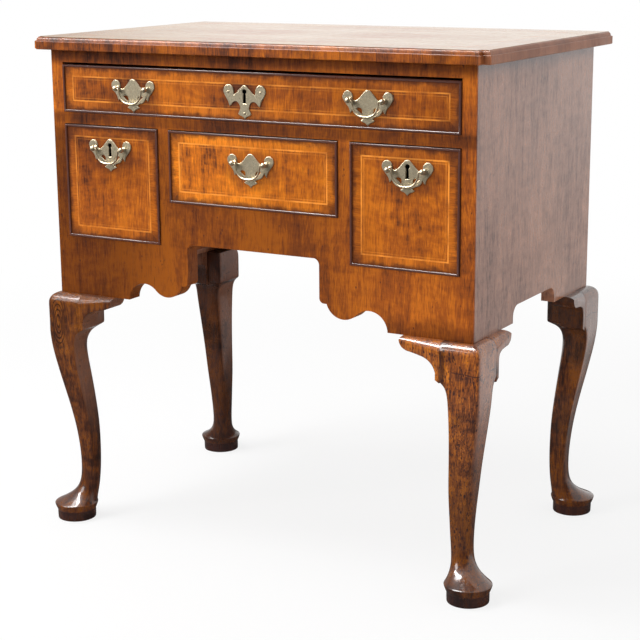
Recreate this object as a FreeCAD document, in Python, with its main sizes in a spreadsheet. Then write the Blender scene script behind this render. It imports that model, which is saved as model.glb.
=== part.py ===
"""A walnut lowboy: a small dressing table with one long drawer over three short ones, on cabriole legs.

Frame: +Z up, +X to the right of someone facing the drawers, the drawer fronts look towards -Y.
The origin is on the floor, below the middle of the case. Sizes are in millimetres.
"""
import FreeCAD, Part
import math
import os
import Sketcher
from FreeCAD import Placement, Rotation, Vector

QUARTER = math.tan(math.pi / 8)  # bulge of a quarter circle: the tangent of a quarter of its angle

# Driving sizes, each written once. They become the cells of the spreadsheet.
SIZES = {
    # the case
    "case_width": 658.0,
    "case_depth": 394.0,
    "leg_height": 348.0,
    "apron_height": 84.0,
    "lower_opening_height": 162.0,
    "middle_rail_height": 16.0,
    "top_opening_height": 69.7,
    "top_rail_height": 17.8,
    "top_thickness": 17.5,
    "side_thickness": 19.5,
    "stile_facing": 3.0,
    "divider_thickness": 17.0,
    "centre_opening_width": 266.2,
    "centre_opening_shift": 1.4,
    "rail_depth": 60.0,
    "back_thickness": 12.0,
    "runner_width": 20.0,
    "runner_height": 16.0,
    # the top and the cross-grain moulding round its front and ends
    "end_overhang": 16.0,
    "front_overhang": 12.5,
    "back_overhang": 15.0,
    "corner_notch": 10.0,
    "moulding_reach": 6.0,
    "moulding_band": 11.5,
    "moulding_step": 1.0,
    "ovolo_radius": 4.0,
    "band_easing": 0.8,
    # the apron's lower edge, from the middle outwards
    "apron_thickness": 24.0,
    "centre_apron_height": 145.0,
    "kneehole_width": 210.0,
    "kneehole_rise": 88.5,
    "kneehole_corner": 9.0,
    "jamb_round": 7.0,
    "jamb_foot_rise": 28.5,
    "lobe_inset": 4.0,
    "lobe_width": 44.0,
    "cyma_rise": 17.5,
    "arch_width": 47.0,
    # the ends' lower edge
    "side_arch_width": 144.0,
    "side_arch_rise": 23.0,
    "side_arch_step": 6.0,
    "side_arch_cove": 14.0,
    # legs: pad foot, knee block and ears
    "disc_radius": 28.2,
    "disc_height": 14.5,
    "disc_step": 1.2,
    "pad_radius": 31.0,
    "pad_swell": 7.5,
    "shoulder_radius": 13.0,
    "stump_height": 58.0,
    "front_ear_length": 50.5,
    "side_ear_length": 42.5,
    "ear_tongue": 20.0,
    "ear_tip_radius": 8.0,
    "ear_cove_width": 24.0,
    "ear_cove_height": 26.0,
    "ear_seat": 20.0,
    # drawers
    "front_thickness": 20.0,
    "rear_gap": 26.0,
    "drawer_side": 9.0,
    "drawer_back": 9.0,
    "drawer_bottom": 6.0,
    "bottom_lift": 3.0,
    "side_drop": 3.0,
    "side_gap": 0.7,
    "head_gap": 1.0,
    "worn_head_gap": 2.0,
    "running_gap": 0.4,
    "bead_width": 3.2,
    "bead_proud": 2.5,
    "bead_depth": 10.0,
    "bead_nose": 1.0,
    # brasses
    "plate_thickness": 1.6,
    "plate_rise": 13.3,
    "post_spacing": 49.2,
    "post_reach": 9.0,
    "post_neck_radius": 2.1,
    "shank_clearance": 0.2,
    "post_collar_radius": 3.6,
    "post_collar_height": 1.4,
    "ball_radius": 3.8,
    "nut_radius": 4.8,
    "nut_height": 3.0,
    "shank_tail": 4.0,
    "bail_width": 37.0,
    "bail_drop": 16.8,
    "bail_corner": 11.0,
    "bail_radius": 1.5,
    "bail_crown": 2.2,
    "pivot_radius": 1.1,
    "pivot_clearance": 0.08,
    "keyhole_radius": 2.8,
    "keyhole_slot": 4.0,
    "keyhole_length": 15.0,
    "keyhole_drop": 8.8,
    "escutcheon_pin_radius": 1.6,
    "escutcheon_pin_head": 1.2,
    "upper_handle_spacing": 366.3,
    "upper_handle_shift": -4.6,
    "upper_handle_height": 37.0,
    "lower_handle_drop": 32.0,
    "centre_handle_lowering": 6.5,
    "left_handle_shift": -1.7,
    "right_handle_shift": 4.7,
    "escutcheon_offset": -6.0,
    "escutcheon_drop": 20.5,
    # locks
    "lock_width": 38.0,
    "lock_height": 52.0,
    "lock_depth": 8.0,
    "bolt_width": 16.0,
    "bolt_thickness": 3.6,
    "bolt_length": 30.0,
    "bolt_travel": 8.0,
    "bolt_clearance": 0.4,
    "mortise_clearance": 1.0,
}

# The cabriole leg's sections, from the pad foot up to the knee. Each is a rounded square, given by its
# height above the floor, how far its outer and its inner faces lie outside the corner of the case, and how
# much of its half width is rounded: a circle at the ankle, a sharp arris at the knee.
LEG_SECTIONS = {
    "pad": (25.0, 24.7, -35.3, 1.0),
    "instep": (31.0, 13.0, -35.5, 1.0),
    "throat": (41.0, 0.5, -34.5, 1.0),
    "ankle": (60.0, -8.0, -36.0, 1.0),
    "shin": (88.0, -9.0, -37.6, 1.0),
    "calf": (130.0, -6.5, -37.4, 0.84),
    "shank": (190.0, 1.5, -33.0, 0.52),
    "underknee": (235.0, 9.4, -28.6, 0.32),
    "knee": (265.0, 13.2, -28.8, 0.2),
    "cove": (284.0, 14.7, -34.0, 0.12),
    "block": (296.0, 15.0, -46.5, 0.06),
}
LEG_PATTERN_TURNS = (0, 30, 60, 90, 120, 150)  # directions of the patterns the leg is shaped to, in degrees
for part_of_leg, numbers in LEG_SECTIONS.items():
    for aspect, number in zip(("height", "outer", "inner", "rounding"), numbers):
        SIZES[f"{part_of_leg}_{aspect}"] = number


class Size:
    """A length that keeps its spreadsheet expression beside its value, so drawing and binding agree."""

    def __init__(self, value, text=None):
        self.value = float(value)
        self.text = text or f"({self.value!r})"

    def __add__(self, other):
        other = size(other)
        return Size(self.value + other.value, f"({self.text} + {other.text})")

    def __sub__(self, other):
        other = size(other)
        return Size(self.value - other.value, f"({self.text} - {other.text})")

    def __mul__(self, other):
        other = size(other)
        return Size(self.value * other.value, f"({self.text} * {other.text})")

    def __truediv__(self, other):
        other = size(other)
        return Size(self.value / other.value, f"({self.text} / {other.text})")

    def __neg__(self):
        return self * -1

    __radd__ = __add__
    __rmul__ = __mul__

    def __rsub__(self, other):
        return size(other) - self


def size(value):
    return value if isinstance(value, Size) else Size(value)


def distance(start, end):
    """The distance between two drawn points, with its expression."""
    dx, dy = end[0] - start[0], end[1] - start[1]
    return Size(math.hypot(dx.value, dy.value), f"sqrt({dx.text}^2 + {dy.text}^2)")


doc = FreeCAD.newDocument("lowboy")
sheet = doc.addObject("Spreadsheet::Sheet", "Sizes")
for row, (name, number) in enumerate(SIZES.items(), start=1):
    sheet.set(f"A{row}", name)
    sheet.set(f"B{row}", str(number))
    sheet.setAlias(f"B{row}", name)
doc.recompute()
s = {name: Size(number, f"Sizes.{name}") for name, number in SIZES.items()}

# Planes and heights that many pieces share.
RIGHT = s["case_width"] / 2
FRONT = -s["case_depth"] / 2
BACK = s["case_depth"] / 2
INNER_RIGHT = RIGHT - s["side_thickness"]
CASE_BOTTOM = s["leg_height"]
APRON_TOP = CASE_BOTTOM + s["apron_height"]
CENTRE_APRON_TOP = CASE_BOTTOM + s["centre_apron_height"]
RAIL_BOTTOM = APRON_TOP + s["lower_opening_height"]
RAIL_TOP = RAIL_BOTTOM + s["middle_rail_height"]
TOP_RAIL_BOTTOM = RAIL_TOP + s["top_opening_height"]
CASE_TOP = TOP_RAIL_BOTTOM + s["top_rail_height"]
BACK_INNER = BACK - s["back_thickness"]
CENTRE_LEFT = s["centre_opening_shift"] - s["centre_opening_width"] / 2
CENTRE_RIGHT = s["centre_opening_shift"] + s["centre_opening_width"] / 2
LEFT_DIVIDER_OUTER = CENTRE_LEFT - s["divider_thickness"]
RIGHT_DIVIDER_OUTER = CENTRE_RIGHT + s["divider_thickness"]
nodes = []  # the sub-parts, in the order they are made


def keep(piece, label):
    """Name a finished sub-part and list it for export."""
    piece.Label = label
    nodes.append(piece)
    return piece


def place(piece, position):
    for axis, value in zip("xyz", position):
        piece.setExpression(f"Placement.Base.{axis}", size(value).text)
    return piece


def box(one, other):
    """A block between two opposite corners."""
    solid = doc.addObject("Part::Box", "block")
    pairs = [(size(start), size(end)) for start, end in zip(one, other)]
    pairs = [sorted(pair, key=lambda entry: entry.value) for pair in pairs]
    for side, (low, high) in zip(("Length", "Width", "Height"), pairs):
        solid.setExpression(side, (high - low).text)
    return place(solid, [low for low, _ in pairs])


def compound(pieces):
    group = doc.addObject("Part::Compound", "group")
    group.Links = pieces
    return group


def cut(piece, tools):
    """A piece with every tool taken out of it."""
    for tool in tools:
        difference = doc.addObject("Part::Cut", "cut")
        difference.Base, difference.Tool = piece, tool
        piece = difference
    return piece


def fuse(pieces):
    whole = doc.addObject("Part::MultiFuse", "fuse")
    whole.Shapes = pieces
    return whole


def common(pieces):
    overlap = doc.addObject("Part::MultiCommon", "common")
    overlap.Shapes = pieces
    return overlap


def copy_at(piece, position):
    """The same piece again, moved."""
    return place(compound([piece]), position)


def mirrored(piece, normal):
    """The piece's mirror image in the plane through the origin with that normal."""
    image = doc.addObject("Part::Mirroring", "mirrored")
    image.Source, image.Normal = piece, Vector(*normal)
    return image


def arc(start, end, bulge):
    """An arc between two drawn points. A positive bulge turns left on the way."""
    (ax, ay), (bx, by) = start, end
    ax, ay, bx, by = ax.value, ay.value, bx.value, by.value
    offset = (1 - bulge * bulge) / (4 * bulge)
    centre = Vector((ax + bx) / 2 - (by - ay) * offset, (ay + by) / 2 + (bx - ax) * offset, 0)
    radius = math.hypot(ax - centre.x, ay - centre.y)
    first = math.atan2(ay - centre.y, ax - centre.x)
    last = math.atan2(by - centre.y, bx - centre.x)
    if bulge < 0:
        first, last = last, first
    if last < first:
        last += 2 * math.pi
    return Part.ArcOfCircle(Part.Circle(centre, Vector(0, 0, 1), radius), first, last)


def bind_constraint(sketch, constraint, value):
    index = sketch.addConstraint(constraint)
    sketch.setExpression(f"Constraints[{index}]", value.text)


def draw(sketch, path, closed=True):
    """Draw an outline, fully constrained. An entry (x, y) is a straight run to that point, and an entry
    (x, y, bulge) is an arc to it. Every corner is held by its distances from the sketch's origin."""
    points = [(size(entry[0]), size(entry[1])) for entry in path]
    runs = range(len(path)) if closed else range(1, len(path))
    ends = {}
    for run in runs:
        start, end = points[run - 1], points[run]
        if len(path[run]) == 2:
            corners = [Vector(point[0].value, point[1].value) for point in (start, end)]
            ends[run] = (sketch.addGeometry(Part.LineSegment(*corners), False), 1, 2)
        else:
            bulge = path[run][2]
            index = sketch.addGeometry(arc(start, end, bulge), False)
            ends[run] = (index, 1, 2) if bulge > 0 else (index, 2, 1)
            share = (1 + bulge * bulge) / (4 * abs(bulge))
            radius = distance(start, end) * share
            bind_constraint(sketch, Sketcher.Constraint("Radius", index, radius.value), radius)
    for run in runs:
        index, first, last = ends[run]
        if run - 1 in ends or closed:
            before, _, end_before = ends[run - 1 if run - 1 in ends else len(path) - 1]
            sketch.addConstraint(Sketcher.Constraint("Coincident", before, end_before, index, first))
        else:
            hold(sketch, index, first, points[run - 1])
        hold(sketch, index, last, points[run])


def hold(sketch, index, end, point):
    """Hold one end of a drawn run at its distances from the origin."""
    for direction, value in zip(("DistanceX", "DistanceY"), point):
        constraint = Sketcher.Constraint(direction, -1, 1, index, end, value.value)
        bind_constraint(sketch, constraint, value)


def new_body(label):
    body = doc.addObject("PartDesign::Body", label)
    body.Label = label
    return body


def sketch_on(body, plane, offset):
    """A sketch in one of the body's own origin planes, moved along the plane's normal."""
    sketch = body.newObject("Sketcher::SketchObject", f"{body.Label}_sketch")
    support = next(item for item in body.Origin.OriginFeatures if item.Role == plane)
    sketch.AttachmentSupport = [(support, "")]
    sketch.MapMode = "FlatFace"
    sketch.setExpression("AttachmentOffset.Base.z", size(offset).text)
    return sketch


def pad(body, sketch, length):
    feature = body.newObject("PartDesign::Pad", f"{body.Label}_pad")
    feature.Profile = sketch
    feature.setExpression("Length", size(length).text)
    sketch.Visibility = False
    return feature


def pad_front(body, low, thickness, *outlines):
    """Pad outlines drawn as (x, z) from the plane y = low backwards."""
    sketch = sketch_on(body, "XZ_Plane", -(size(low) + thickness))
    for outline in outlines:
        draw(sketch, outline)
    return pad(body, sketch, thickness)


def pad_side(body, low, thickness, outline):
    """Pad an outline drawn as (y, z) from the plane x = low to the right."""
    sketch = sketch_on(body, "YZ_Plane", low)
    draw(sketch, outline)
    return pad(body, sketch, thickness)


def pad_plan(body, low, thickness, outline):
    """Pad an outline drawn as (x, y) from the plane z = low upwards."""
    sketch = sketch_on(body, "XY_Plane", low)
    draw(sketch, outline)
    return pad(body, sketch, thickness)


def rectangle(low_x, low_y, high_x, high_y):
    return [(low_x, low_y), (high_x, low_y), (high_x, high_y), (low_x, high_y)]


def near(one, other):
    return abs(one - other) < 1e-4


def edges_between(feature, chosen):
    """The names of the feature's edges whose two ends both answer chosen."""
    doc.recompute()
    names = []
    for number, edge in enumerate(feature.Shape.Edges, start=1):
        ends = [vertex.Point for vertex in edge.Vertexes]
        if len(ends) == 2 and chosen(*ends):
            names.append(f"Edge{number}")
    return names


def fillet(body, feature, radius, chosen):
    rounding = body.newObject("PartDesign::Fillet", f"{body.Label}_fillet")
    rounding.Base = (feature, edges_between(feature, chosen))
    rounding.setExpression("Radius", size(radius).text)
    return rounding


def chamfer(body, feature, width, chosen):
    bevel = body.newObject("PartDesign::Chamfer", f"{body.Label}_chamfer")
    bevel.Base = (feature, edges_between(feature, chosen))
    bevel.setExpression("Size", size(width).text)
    return bevel


def carve(label, plane, axis, reach, silhouettes):
    """What several silhouettes share, each extruded both ways by reach and turned about the axis. It makes
    a turned or shaved form whose faces are developable."""
    bodies = []
    for turn, outline in silhouettes:
        body = new_body(f"{label}_{turn}")
        sketch = sketch_on(body, plane, -reach)
        draw(sketch, outline)
        pad(body, sketch, reach * 2)
        body.Placement = Placement(Vector(), Rotation(axis, turn))
        bodies.append(body)
    return common(bodies)


def smooth(points):
    """The same points with one more between each two, where a curve that turns evenly would pass."""
    pairs = list(zip(points, points[1:]))
    spans = [(end[0] - start[0], end[1] - start[1]) for start, end in pairs]
    lengths = [math.hypot(run.value, rise.value) for run, rise in spans]
    headings = [math.atan2(rise.value, run.value) for run, rise in spans]
    tangents = []
    for index in range(1, len(spans)):
        share = lengths[index - 1] / (lengths[index - 1] + lengths[index])
        tangents.append(headings[index - 1] + (headings[index] - headings[index - 1]) * share)
    tangents = [2 * headings[0] - tangents[0], *tangents, 2 * headings[-1] - tangents[-1]]
    line = [points[0]]
    for index, (start, end) in enumerate(pairs):
        run, rise = spans[index]
        bow = math.tan((tangents[index + 1] - tangents[index]) / 4) / 2
        line.append(((start[0] + end[0]) / 2 + rise * bow, (start[1] + end[1]) / 2 - run * bow))
        line.append(end)
    return line


# --- the top ---------------------------------------------------------------------------------------------


def top_outline(reach):
    """Half of the top's plan at some reach outside its surface, from the back right corner to the front."""
    end = RIGHT + s["end_overhang"] + reach
    front = FRONT - s["front_overhang"] - reach
    notch = s["corner_notch"]
    back = BACK + s["back_overhang"]
    return [(end, back), (end, front + notch), (end - notch, front + notch), (end - notch, front)]


def mirror_points(points):
    """The same points on the left, in reverse order."""
    return [(-point[0], point[1]) for point in reversed(points)]


def flipped(outline):
    """The same outline mirrored in the upright axis, with its arcs turned to suit."""
    return [(-entry[0], entry[1], *(-bulge for bulge in entry[2:])) for entry in outline]


def make_top():
    board = new_body("top_board")
    right = top_outline(size(0))
    pad_plan(board, CASE_TOP, s["top_thickness"], list(reversed(right)) + mirror_points(right)[::-1])
    keep(board, "top_board")

    # The moulding is swept round the ends and the front, with mitred corners, and parted at the notches.
    half = list(reversed(top_outline(size(0))))
    route = mirror_points(half) + half
    spine = new_body("moulding_route")
    line = sketch_on(spine, "XY_Plane", CASE_TOP)
    draw(line, route, closed=False)
    reach, band, ease = s["moulding_reach"], s["moulding_band"], s["band_easing"]
    shelf = reach - s["moulding_step"]
    crown = band + s["moulding_step"] + s["ovolo_radius"]
    lip = shelf - s["ovolo_radius"]
    start = -(RIGHT + s["end_overhang"])
    profile = sketch_on(spine, "XZ_Plane", -(BACK + s["back_overhang"]))
    outline = [
        (size(0), size(0)),
        (-(reach - ease), size(0)),
        (-reach, ease),
        (-reach, band - ease),
        (-(reach - ease), band),
        (-shelf, band),
        (-shelf, band + s["moulding_step"]),
        (-lip, crown, -QUARTER),
        (size(0), crown),
    ]
    draw(profile, [(entry[0] + start, entry[1] + CASE_TOP, *entry[2:]) for entry in outline])
    pipe = spine.newObject("PartDesign::AdditivePipe", "moulding_pipe")
    pipe.Profile, pipe.Spine, pipe.Transition = profile, (line, []), 1
    doc.recompute()

    corner_x = RIGHT + s["end_overhang"] - s["corner_notch"]
    corner_y = FRONT - s["front_overhang"] + s["corner_notch"]
    wedge_side = (corner_x + s["end_overhang"] + reach) * 2
    wedge = doc.addObject("Part::Box", "front_wedge")
    for side in ("Length", "Width"):
        wedge.setExpression(side, wedge_side.text)
    wedge.setExpression("Height", (s["top_thickness"] * 2).text)
    wedge.Placement = Placement(Vector(), Rotation(Vector(0, 0, 1), -135))
    place(wedge, (0, corner_y + corner_x, CASE_TOP - s["top_thickness"] / 2))
    front = common([spine, wedge])
    keep(compound([front, cut(spine, [wedge])]), "top_moulding")


# --- the case --------------------------------------------------------------------------------------------


def make_sides():
    """The two ends. Their lower edge is raised between the legs, with a small cove at each step."""
    half, low = s["side_arch_width"] / 2, CASE_BOTTOM
    step, rise, cove = low + s["side_arch_step"], low + s["side_arch_rise"], s["side_arch_cove"]
    edge = FRONT + s["stile_facing"]
    outline = [
        (edge, low),
        (-half, low),
        (-half, step),
        (-(half - cove), rise, -QUARTER),
        (half - cove, rise),
        (half, step, -QUARTER),
        (half, low),
        (BACK, low),
        (BACK, CASE_TOP),
        (edge, CASE_TOP),
    ]
    for label, start in (("left_side", -RIGHT), ("right_side", INNER_RIGHT)):
        board = new_body(label)
        pad_side(board, start, s["side_thickness"], outline)
        keep(board, label)
    strips = [
        box((start, FRONT, CASE_BOTTOM), (start + s["side_thickness"], edge, CASE_TOP))
        for start in (-RIGHT, INNER_RIGHT)
    ]
    keep(compound(strips), "front_stiles")


def make_back():
    keep(box((-INNER_RIGHT, BACK_INNER, CASE_BOTTOM), (INNER_RIGHT, BACK, CASE_TOP)), "back_panel")


def apron_half():
    """The right half of the apron's lower edge, from the kneehole out to the stile."""
    jamb = s["kneehole_width"] / 2
    crown = CASE_BOTTOM + s["kneehole_rise"]
    foot = CASE_BOTTOM + s["jamb_foot_rise"]
    corner, round_ = s["kneehole_corner"], s["jamb_round"]
    lobe = jamb + round_ + s["lobe_inset"]
    cyma = lobe + s["lobe_width"]
    arch = cyma + s["arch_width"]
    return [
        (jamb - corner, crown),
        (jamb, crown - corner, -QUARTER),
        (jamb, foot + round_),
        (jamb + round_, foot, QUARTER),
        (lobe, foot),
        (cyma, CASE_BOTTOM + s["cyma_rise"], 0.56),
        (arch, CASE_BOTTOM, -0.66),
        (INNER_RIGHT, CASE_BOTTOM),
    ]


def reverse_path(path):
    """The mirror image of a path on the left, drawn the other way round."""
    image = []
    for index in range(len(path) - 1, -1, -1):
        after = path[index + 1] if index + 1 < len(path) else ()
        image.append((-path[index][0], path[index][1], *after[2:]))
    return image


def make_apron():
    half = apron_half()
    outline = reverse_path(half) + half
    outline += [
        (INNER_RIGHT, APRON_TOP),
        (CENTRE_RIGHT, APRON_TOP),
        (CENTRE_RIGHT, CENTRE_APRON_TOP),
        (CENTRE_LEFT, CENTRE_APRON_TOP),
        (CENTRE_LEFT, APRON_TOP),
        (-INNER_RIGHT, APRON_TOP),
    ]
    board = new_body("front_apron")
    pad_front(board, FRONT, s["apron_thickness"], outline)
    keep(board, "front_apron")


def make_dividers():
    """Upright boards between the short drawers. Each stands on the apron and runs to the back."""
    behind, foot = FRONT + s["apron_thickness"], APRON_TOP - s["runner_height"]
    outline = [
        (FRONT, APRON_TOP),
        (behind, APRON_TOP),
        (behind, foot),
        (BACK_INNER, foot),
        (BACK_INNER, RAIL_BOTTOM),
        (FRONT, RAIL_BOTTOM),
    ]
    for label, start in (("left_divider", LEFT_DIVIDER_OUTER), ("right_divider", CENTRE_RIGHT)):
        board = new_body(label)
        pad_side(board, start, s["divider_thickness"], outline)
        keep(board, label)


def make_runners():
    """Strips on the ends and dividers that the drawers slide on."""
    width, height = s["runner_width"], s["runner_height"]
    behind_rail, behind_apron = FRONT + s["rail_depth"], FRONT + s["apron_thickness"]
    strips = []
    for low_x, start, top in (
        (-INNER_RIGHT, behind_rail, RAIL_TOP),
        (INNER_RIGHT - width, behind_rail, RAIL_TOP),
        (-INNER_RIGHT, behind_apron, APRON_TOP),
        (LEFT_DIVIDER_OUTER - width, behind_apron, APRON_TOP),
        (RIGHT_DIVIDER_OUTER, behind_apron, APRON_TOP),
        (INNER_RIGHT - width, behind_apron, APRON_TOP),
        (CENTRE_LEFT, behind_apron, CENTRE_APRON_TOP),
        (CENTRE_RIGHT - width, behind_apron, CENTRE_APRON_TOP),
    ):
        strips.append(box((low_x, start, top - height), (low_x + width, BACK_INNER, top)))
    keep(compound(strips), "drawer_runners")


# --- the legs --------------------------------------------------------------------------------------------


def leg_pattern(turn):
    """The leg's outline seen square to one direction, given by its turn from +X in degrees. The line runs up
    the outer side and down the inner one, in the plane of that direction and the upright."""
    angle = math.radians(turn)
    lean = math.cos(angle) + math.sin(angle)
    spread = abs(math.cos(angle)) + abs(math.sin(angle))
    outer, inner = [], []
    for name in LEG_SECTIONS:
        middle = (s[f"{name}_outer"] + s[f"{name}_inner"]) / 2 * lean
        half = (s[f"{name}_outer"] - s[f"{name}_inner"]) / 2
        rounding = s[f"{name}_rounding"]
        reach = half * spread - half * rounding * (spread - 1)
        outer.append((middle + reach, s[f"{name}_height"]))
        inner.append((middle - reach, s[f"{name}_height"]))
    return smooth(outer) + smooth(inner[::-1])


def make_leg_blank():
    """The back right leg without its stump. It is shaped to a pattern on several sides in turn, as a leg is
    sawn and then shaved, so that it runs from a round ankle to a square knee."""
    patterns = [(turn, leg_pattern(turn)) for turn in LEG_PATTERN_TURNS]
    inner, outer, top = s["block_inner"], s["block_outer"], s["leg_height"]
    shaft = carve("leg_pattern", "XZ_Plane", Vector(0, 0, 1), (outer - inner) * 1.4, patterns)
    knee = new_body("knee")
    block = pad_plan(knee, s["block_height"], top - s["block_height"], rectangle(inner, inner, outer, outer))

    def on_shoulder(one, other):
        level = near(one.z, top.value) and near(other.z, top.value)
        at_x = near(one.x, outer.value) and near(other.x, outer.value)
        at_y = near(one.y, outer.value) and near(other.y, outer.value)
        return level and (at_x or at_y)

    fillet(knee, block, s["shoulder_radius"], on_shoulder)
    middle = (s["pad_outer"] + s["pad_inner"]) / 2
    foot = copy_at(make_foot(), (middle, middle, 0))
    return copy_at(fuse([shaft, knee, foot]), (RIGHT, BACK, 0))


def make_foot():
    """The turned pad foot on its disc."""
    foot = new_body("foot")
    sketch = sketch_on(foot, "XZ_Plane", 0)
    draw(
        sketch,
        [
            (size(0), size(0)),
            (s["disc_radius"], size(0)),
            (s["disc_radius"], s["disc_height"]),
            (s["disc_radius"] + s["disc_step"], s["disc_height"] + s["pad_swell"] / 3),
            (s["pad_radius"], s["disc_height"] + s["pad_swell"]),
            (s["pad_radius"], s["pad_height"]),
            (size(0), s["pad_height"]),
        ],
    )
    turned = foot.newObject("PartDesign::Revolution", "foot_turned")
    turned.Profile, turned.ReferenceAxis = sketch, (sketch, ["V_Axis"])
    sketch.Visibility = False
    return foot


def make_legs():
    """Four legs from one pattern. Each has a stump that stands inside its corner of the case."""
    blank = make_leg_blank()
    front = mirrored(blank, (0, 1, 0))
    for label, piece, side, end, behind in (
        ("front_left_leg", mirrored(front, (1, 0, 0)), -1, -1, s["apron_thickness"]),
        ("front_right_leg", front, 1, -1, s["apron_thickness"]),
        ("back_left_leg", mirrored(blank, (1, 0, 0)), -1, 1, s["back_thickness"]),
        ("back_right_leg", blank, 1, 1, s["back_thickness"]),
    ):
        inner = ((RIGHT + s["block_inner"]) * side, (BACK + s["block_inner"]) * end, s["leg_height"])
        outer = (INNER_RIGHT * side, (BACK - behind) * end, s["leg_height"] + s["stump_height"])
        keep(fuse([piece, box(inner, outer)]), label)


def ear_outline(inner, length):
    """An ear's elevation: a rounded tongue under the case, and a cove down to the knee. It is drawn from
    the leg block's inner face towards smaller values."""
    top, tip, tongue = CASE_BOTTOM, inner - length, CASE_BOTTOM - s["ear_tongue"]
    radius = s["ear_tip_radius"]
    return [
        (inner, top),
        (tip + radius, top),
        (tip, top - radius, QUARTER),
        (tip, tongue + radius),
        (tip + radius, tongue, QUARTER),
        (inner - s["ear_cove_width"], tongue),
        (inner, tongue - s["ear_cove_height"], -0.38),
    ]


def shoulder_outline(face):
    """The section across an ear: it stands out from the case face below a rounded shoulder."""
    top, low = CASE_BOTTOM, CASE_BOTTOM - s["ear_tongue"] - s["ear_cove_height"]
    out, radius = face + s["block_outer"], s["shoulder_radius"]
    return [
        (face - s["ear_seat"], low),
        (out, low),
        (out, top - radius),
        (out - radius, top, QUARTER),
        (face - s["ear_seat"], top),
    ]


def make_ears():
    """Ears beside the knees: two under the apron and two under each end."""
    reach = s["ear_seat"] + s["block_outer"]

    front_inner, length = RIGHT + s["block_inner"], s["front_ear_length"]
    elevation = new_body("front_ear_elevation")
    pad_front(elevation, FRONT - s["block_outer"], reach, ear_outline(front_inner, length))
    section = new_body("front_ear_section")
    pad_side(section, front_inner - length, length, flipped(shoulder_outline(BACK)))
    right = common([elevation, section])
    keep(compound([right, mirrored(right, (1, 0, 0))]), "front_leg_ears")

    side_inner, length = BACK + s["block_inner"], s["side_ear_length"]
    elevation = new_body("side_ear_elevation")
    pad_side(elevation, RIGHT - s["ear_seat"], reach, ear_outline(side_inner, length))
    section = new_body("side_ear_section")
    pad_front(section, side_inner - length, length, shoulder_outline(RIGHT))
    back_right = common([elevation, section])
    front_right = mirrored(back_right, (0, 1, 0))
    lefts = [mirrored(ear, (1, 0, 0)) for ear in (back_right, front_right)]
    keep(compound([back_right, front_right, *lefts]), "side_leg_ears")


# --- brasses ---------------------------------------------------------------------------------------------

# Half outlines of the brasses, in millimetres from the peak, down to the tip of the tail.
PLATE_HALF = [
    (0.0, 0.0),
    (4.6, -2.0, -0.2),
    (9.0, -6.4),
    (16.6, -13.6, 0.1),
    (21.9, -12.4, 0.2),
    (28.6, -1.6, -0.5),
    (36.5, -11.0, -0.45),
    (29.8, -20.5, -0.1),
    (26.6, -25.4, 0.08),
    (25.4, -30.3),
    (21.6, -25.0, -0.18),
    (15.4, -33.0, -0.2),
    (6.8, -36.5, 0.15),
    (10.3, -38.9),
    (5.0, -41.6, -0.15),
    (0.0, -46.0, 0.15),
]
TEARDROP = [(16.2, -24.6), (9.6, -23.8, 0.4), (9.0, -30.6, 0.35)]
ESCUTCHEON_HALF = [
    (0.0, 0.0),
    (4.4, -2.4, -0.2),
    (8.6, -6.6),
    (16.3, -12.6, 0.08),
    (17.0, -7.4),
    (25.0, 0.4, -0.42),
    (33.2, -8.4, -0.4),
    (29.5, -16.8, -0.08),
    (25.6, -23.0, 0.08),
    (23.6, -28.6),
    (19.6, -25.0, -0.1),
    (8.6, -25.6, 0.6),
    (6.8, -31.0, 0.08),
    (10.3, -38.2),
    (5.0, -41.2, -0.15),
    (0.0, -45.2, 0.15),
]
ESCUTCHEON_PINS = [(-25.2, -9.3), (25.2, -9.3), (0.0, -37.4)]
SMALL_TURN = math.radians(32)  # arcs on the brasses are drawn as chords that turn by no more than this
POST_TURNS = (0, 45, 90, 135)  # the posts are faceted: eight flats round


def moved(points, x, z):
    """Outline points moved by x and z."""
    return [(x + point[0], z + point[1], *point[2:]) for point in points]


def symmetrical(half):
    """A whole outline from its right half, drawn clockwise from the peak."""
    left = [(-half[index][0], half[index][1], *half[index + 1][2:]) for index in range(len(half) - 2, 0, -1)]
    return [(half[0][0], half[0][1], *half[1][2:])] + half[1:] + left


def opposite(loop):
    """A closed outline's mirror image."""
    after = loop[1:] + loop[:1]
    return [(-point[0], point[1], *follower[2:]) for point, follower in zip(loop, after)][::-1]


def chords(path):
    """A closed outline with its arcs replaced by short chords."""
    light = []
    for index, entry in enumerate(path):
        if len(entry) > 2:
            start, bulge = path[index - 1], entry[2]
            count = math.ceil(4 * math.atan(abs(bulge)) / SMALL_TURN)
            light += [(x, y) for x, y in arc_points(start, entry, bulge, count)]
        light.append(entry[:2])
    return light


def arc_points(start, end, bulge, count):
    """The points that part an arc into equal chords, without its ends."""
    dx, dy = (end[0] - start[0]) / 2, (end[1] - start[1]) / 2
    rise = (1 - bulge * bulge) / (2 * bulge)
    centre_x, centre_y = start[0] + dx - dy * rise, start[1] + dy + dx * rise
    arm_x, arm_y = start[0] - centre_x, start[1] - centre_y
    for step in range(1, count):
        turn = 4 * math.atan(bulge) * step / count
        cosine, sine = math.cos(turn), math.sin(turn)
        yield centre_x + arm_x * cosine - arm_y * sine, centre_y + arm_x * sine + arm_y * cosine


def keyhole(x, z):
    """A keyhole's outline about the middle of its round head."""
    half, radius = s["keyhole_slot"] / 2, s["keyhole_radius"]
    drop = Size(math.sqrt(radius.value**2 - half.value**2), f"sqrt({radius.text}^2 - {half.text}^2)")
    head = 2 * math.pi - 2 * math.asin(half.value / radius.value)
    return [
        (x - half, z - s["keyhole_length"]),
        (x + half, z - s["keyhole_length"]),
        (x + half, z - drop),
        (x - half, z - drop, math.tan(head / 4)),
    ]


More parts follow.
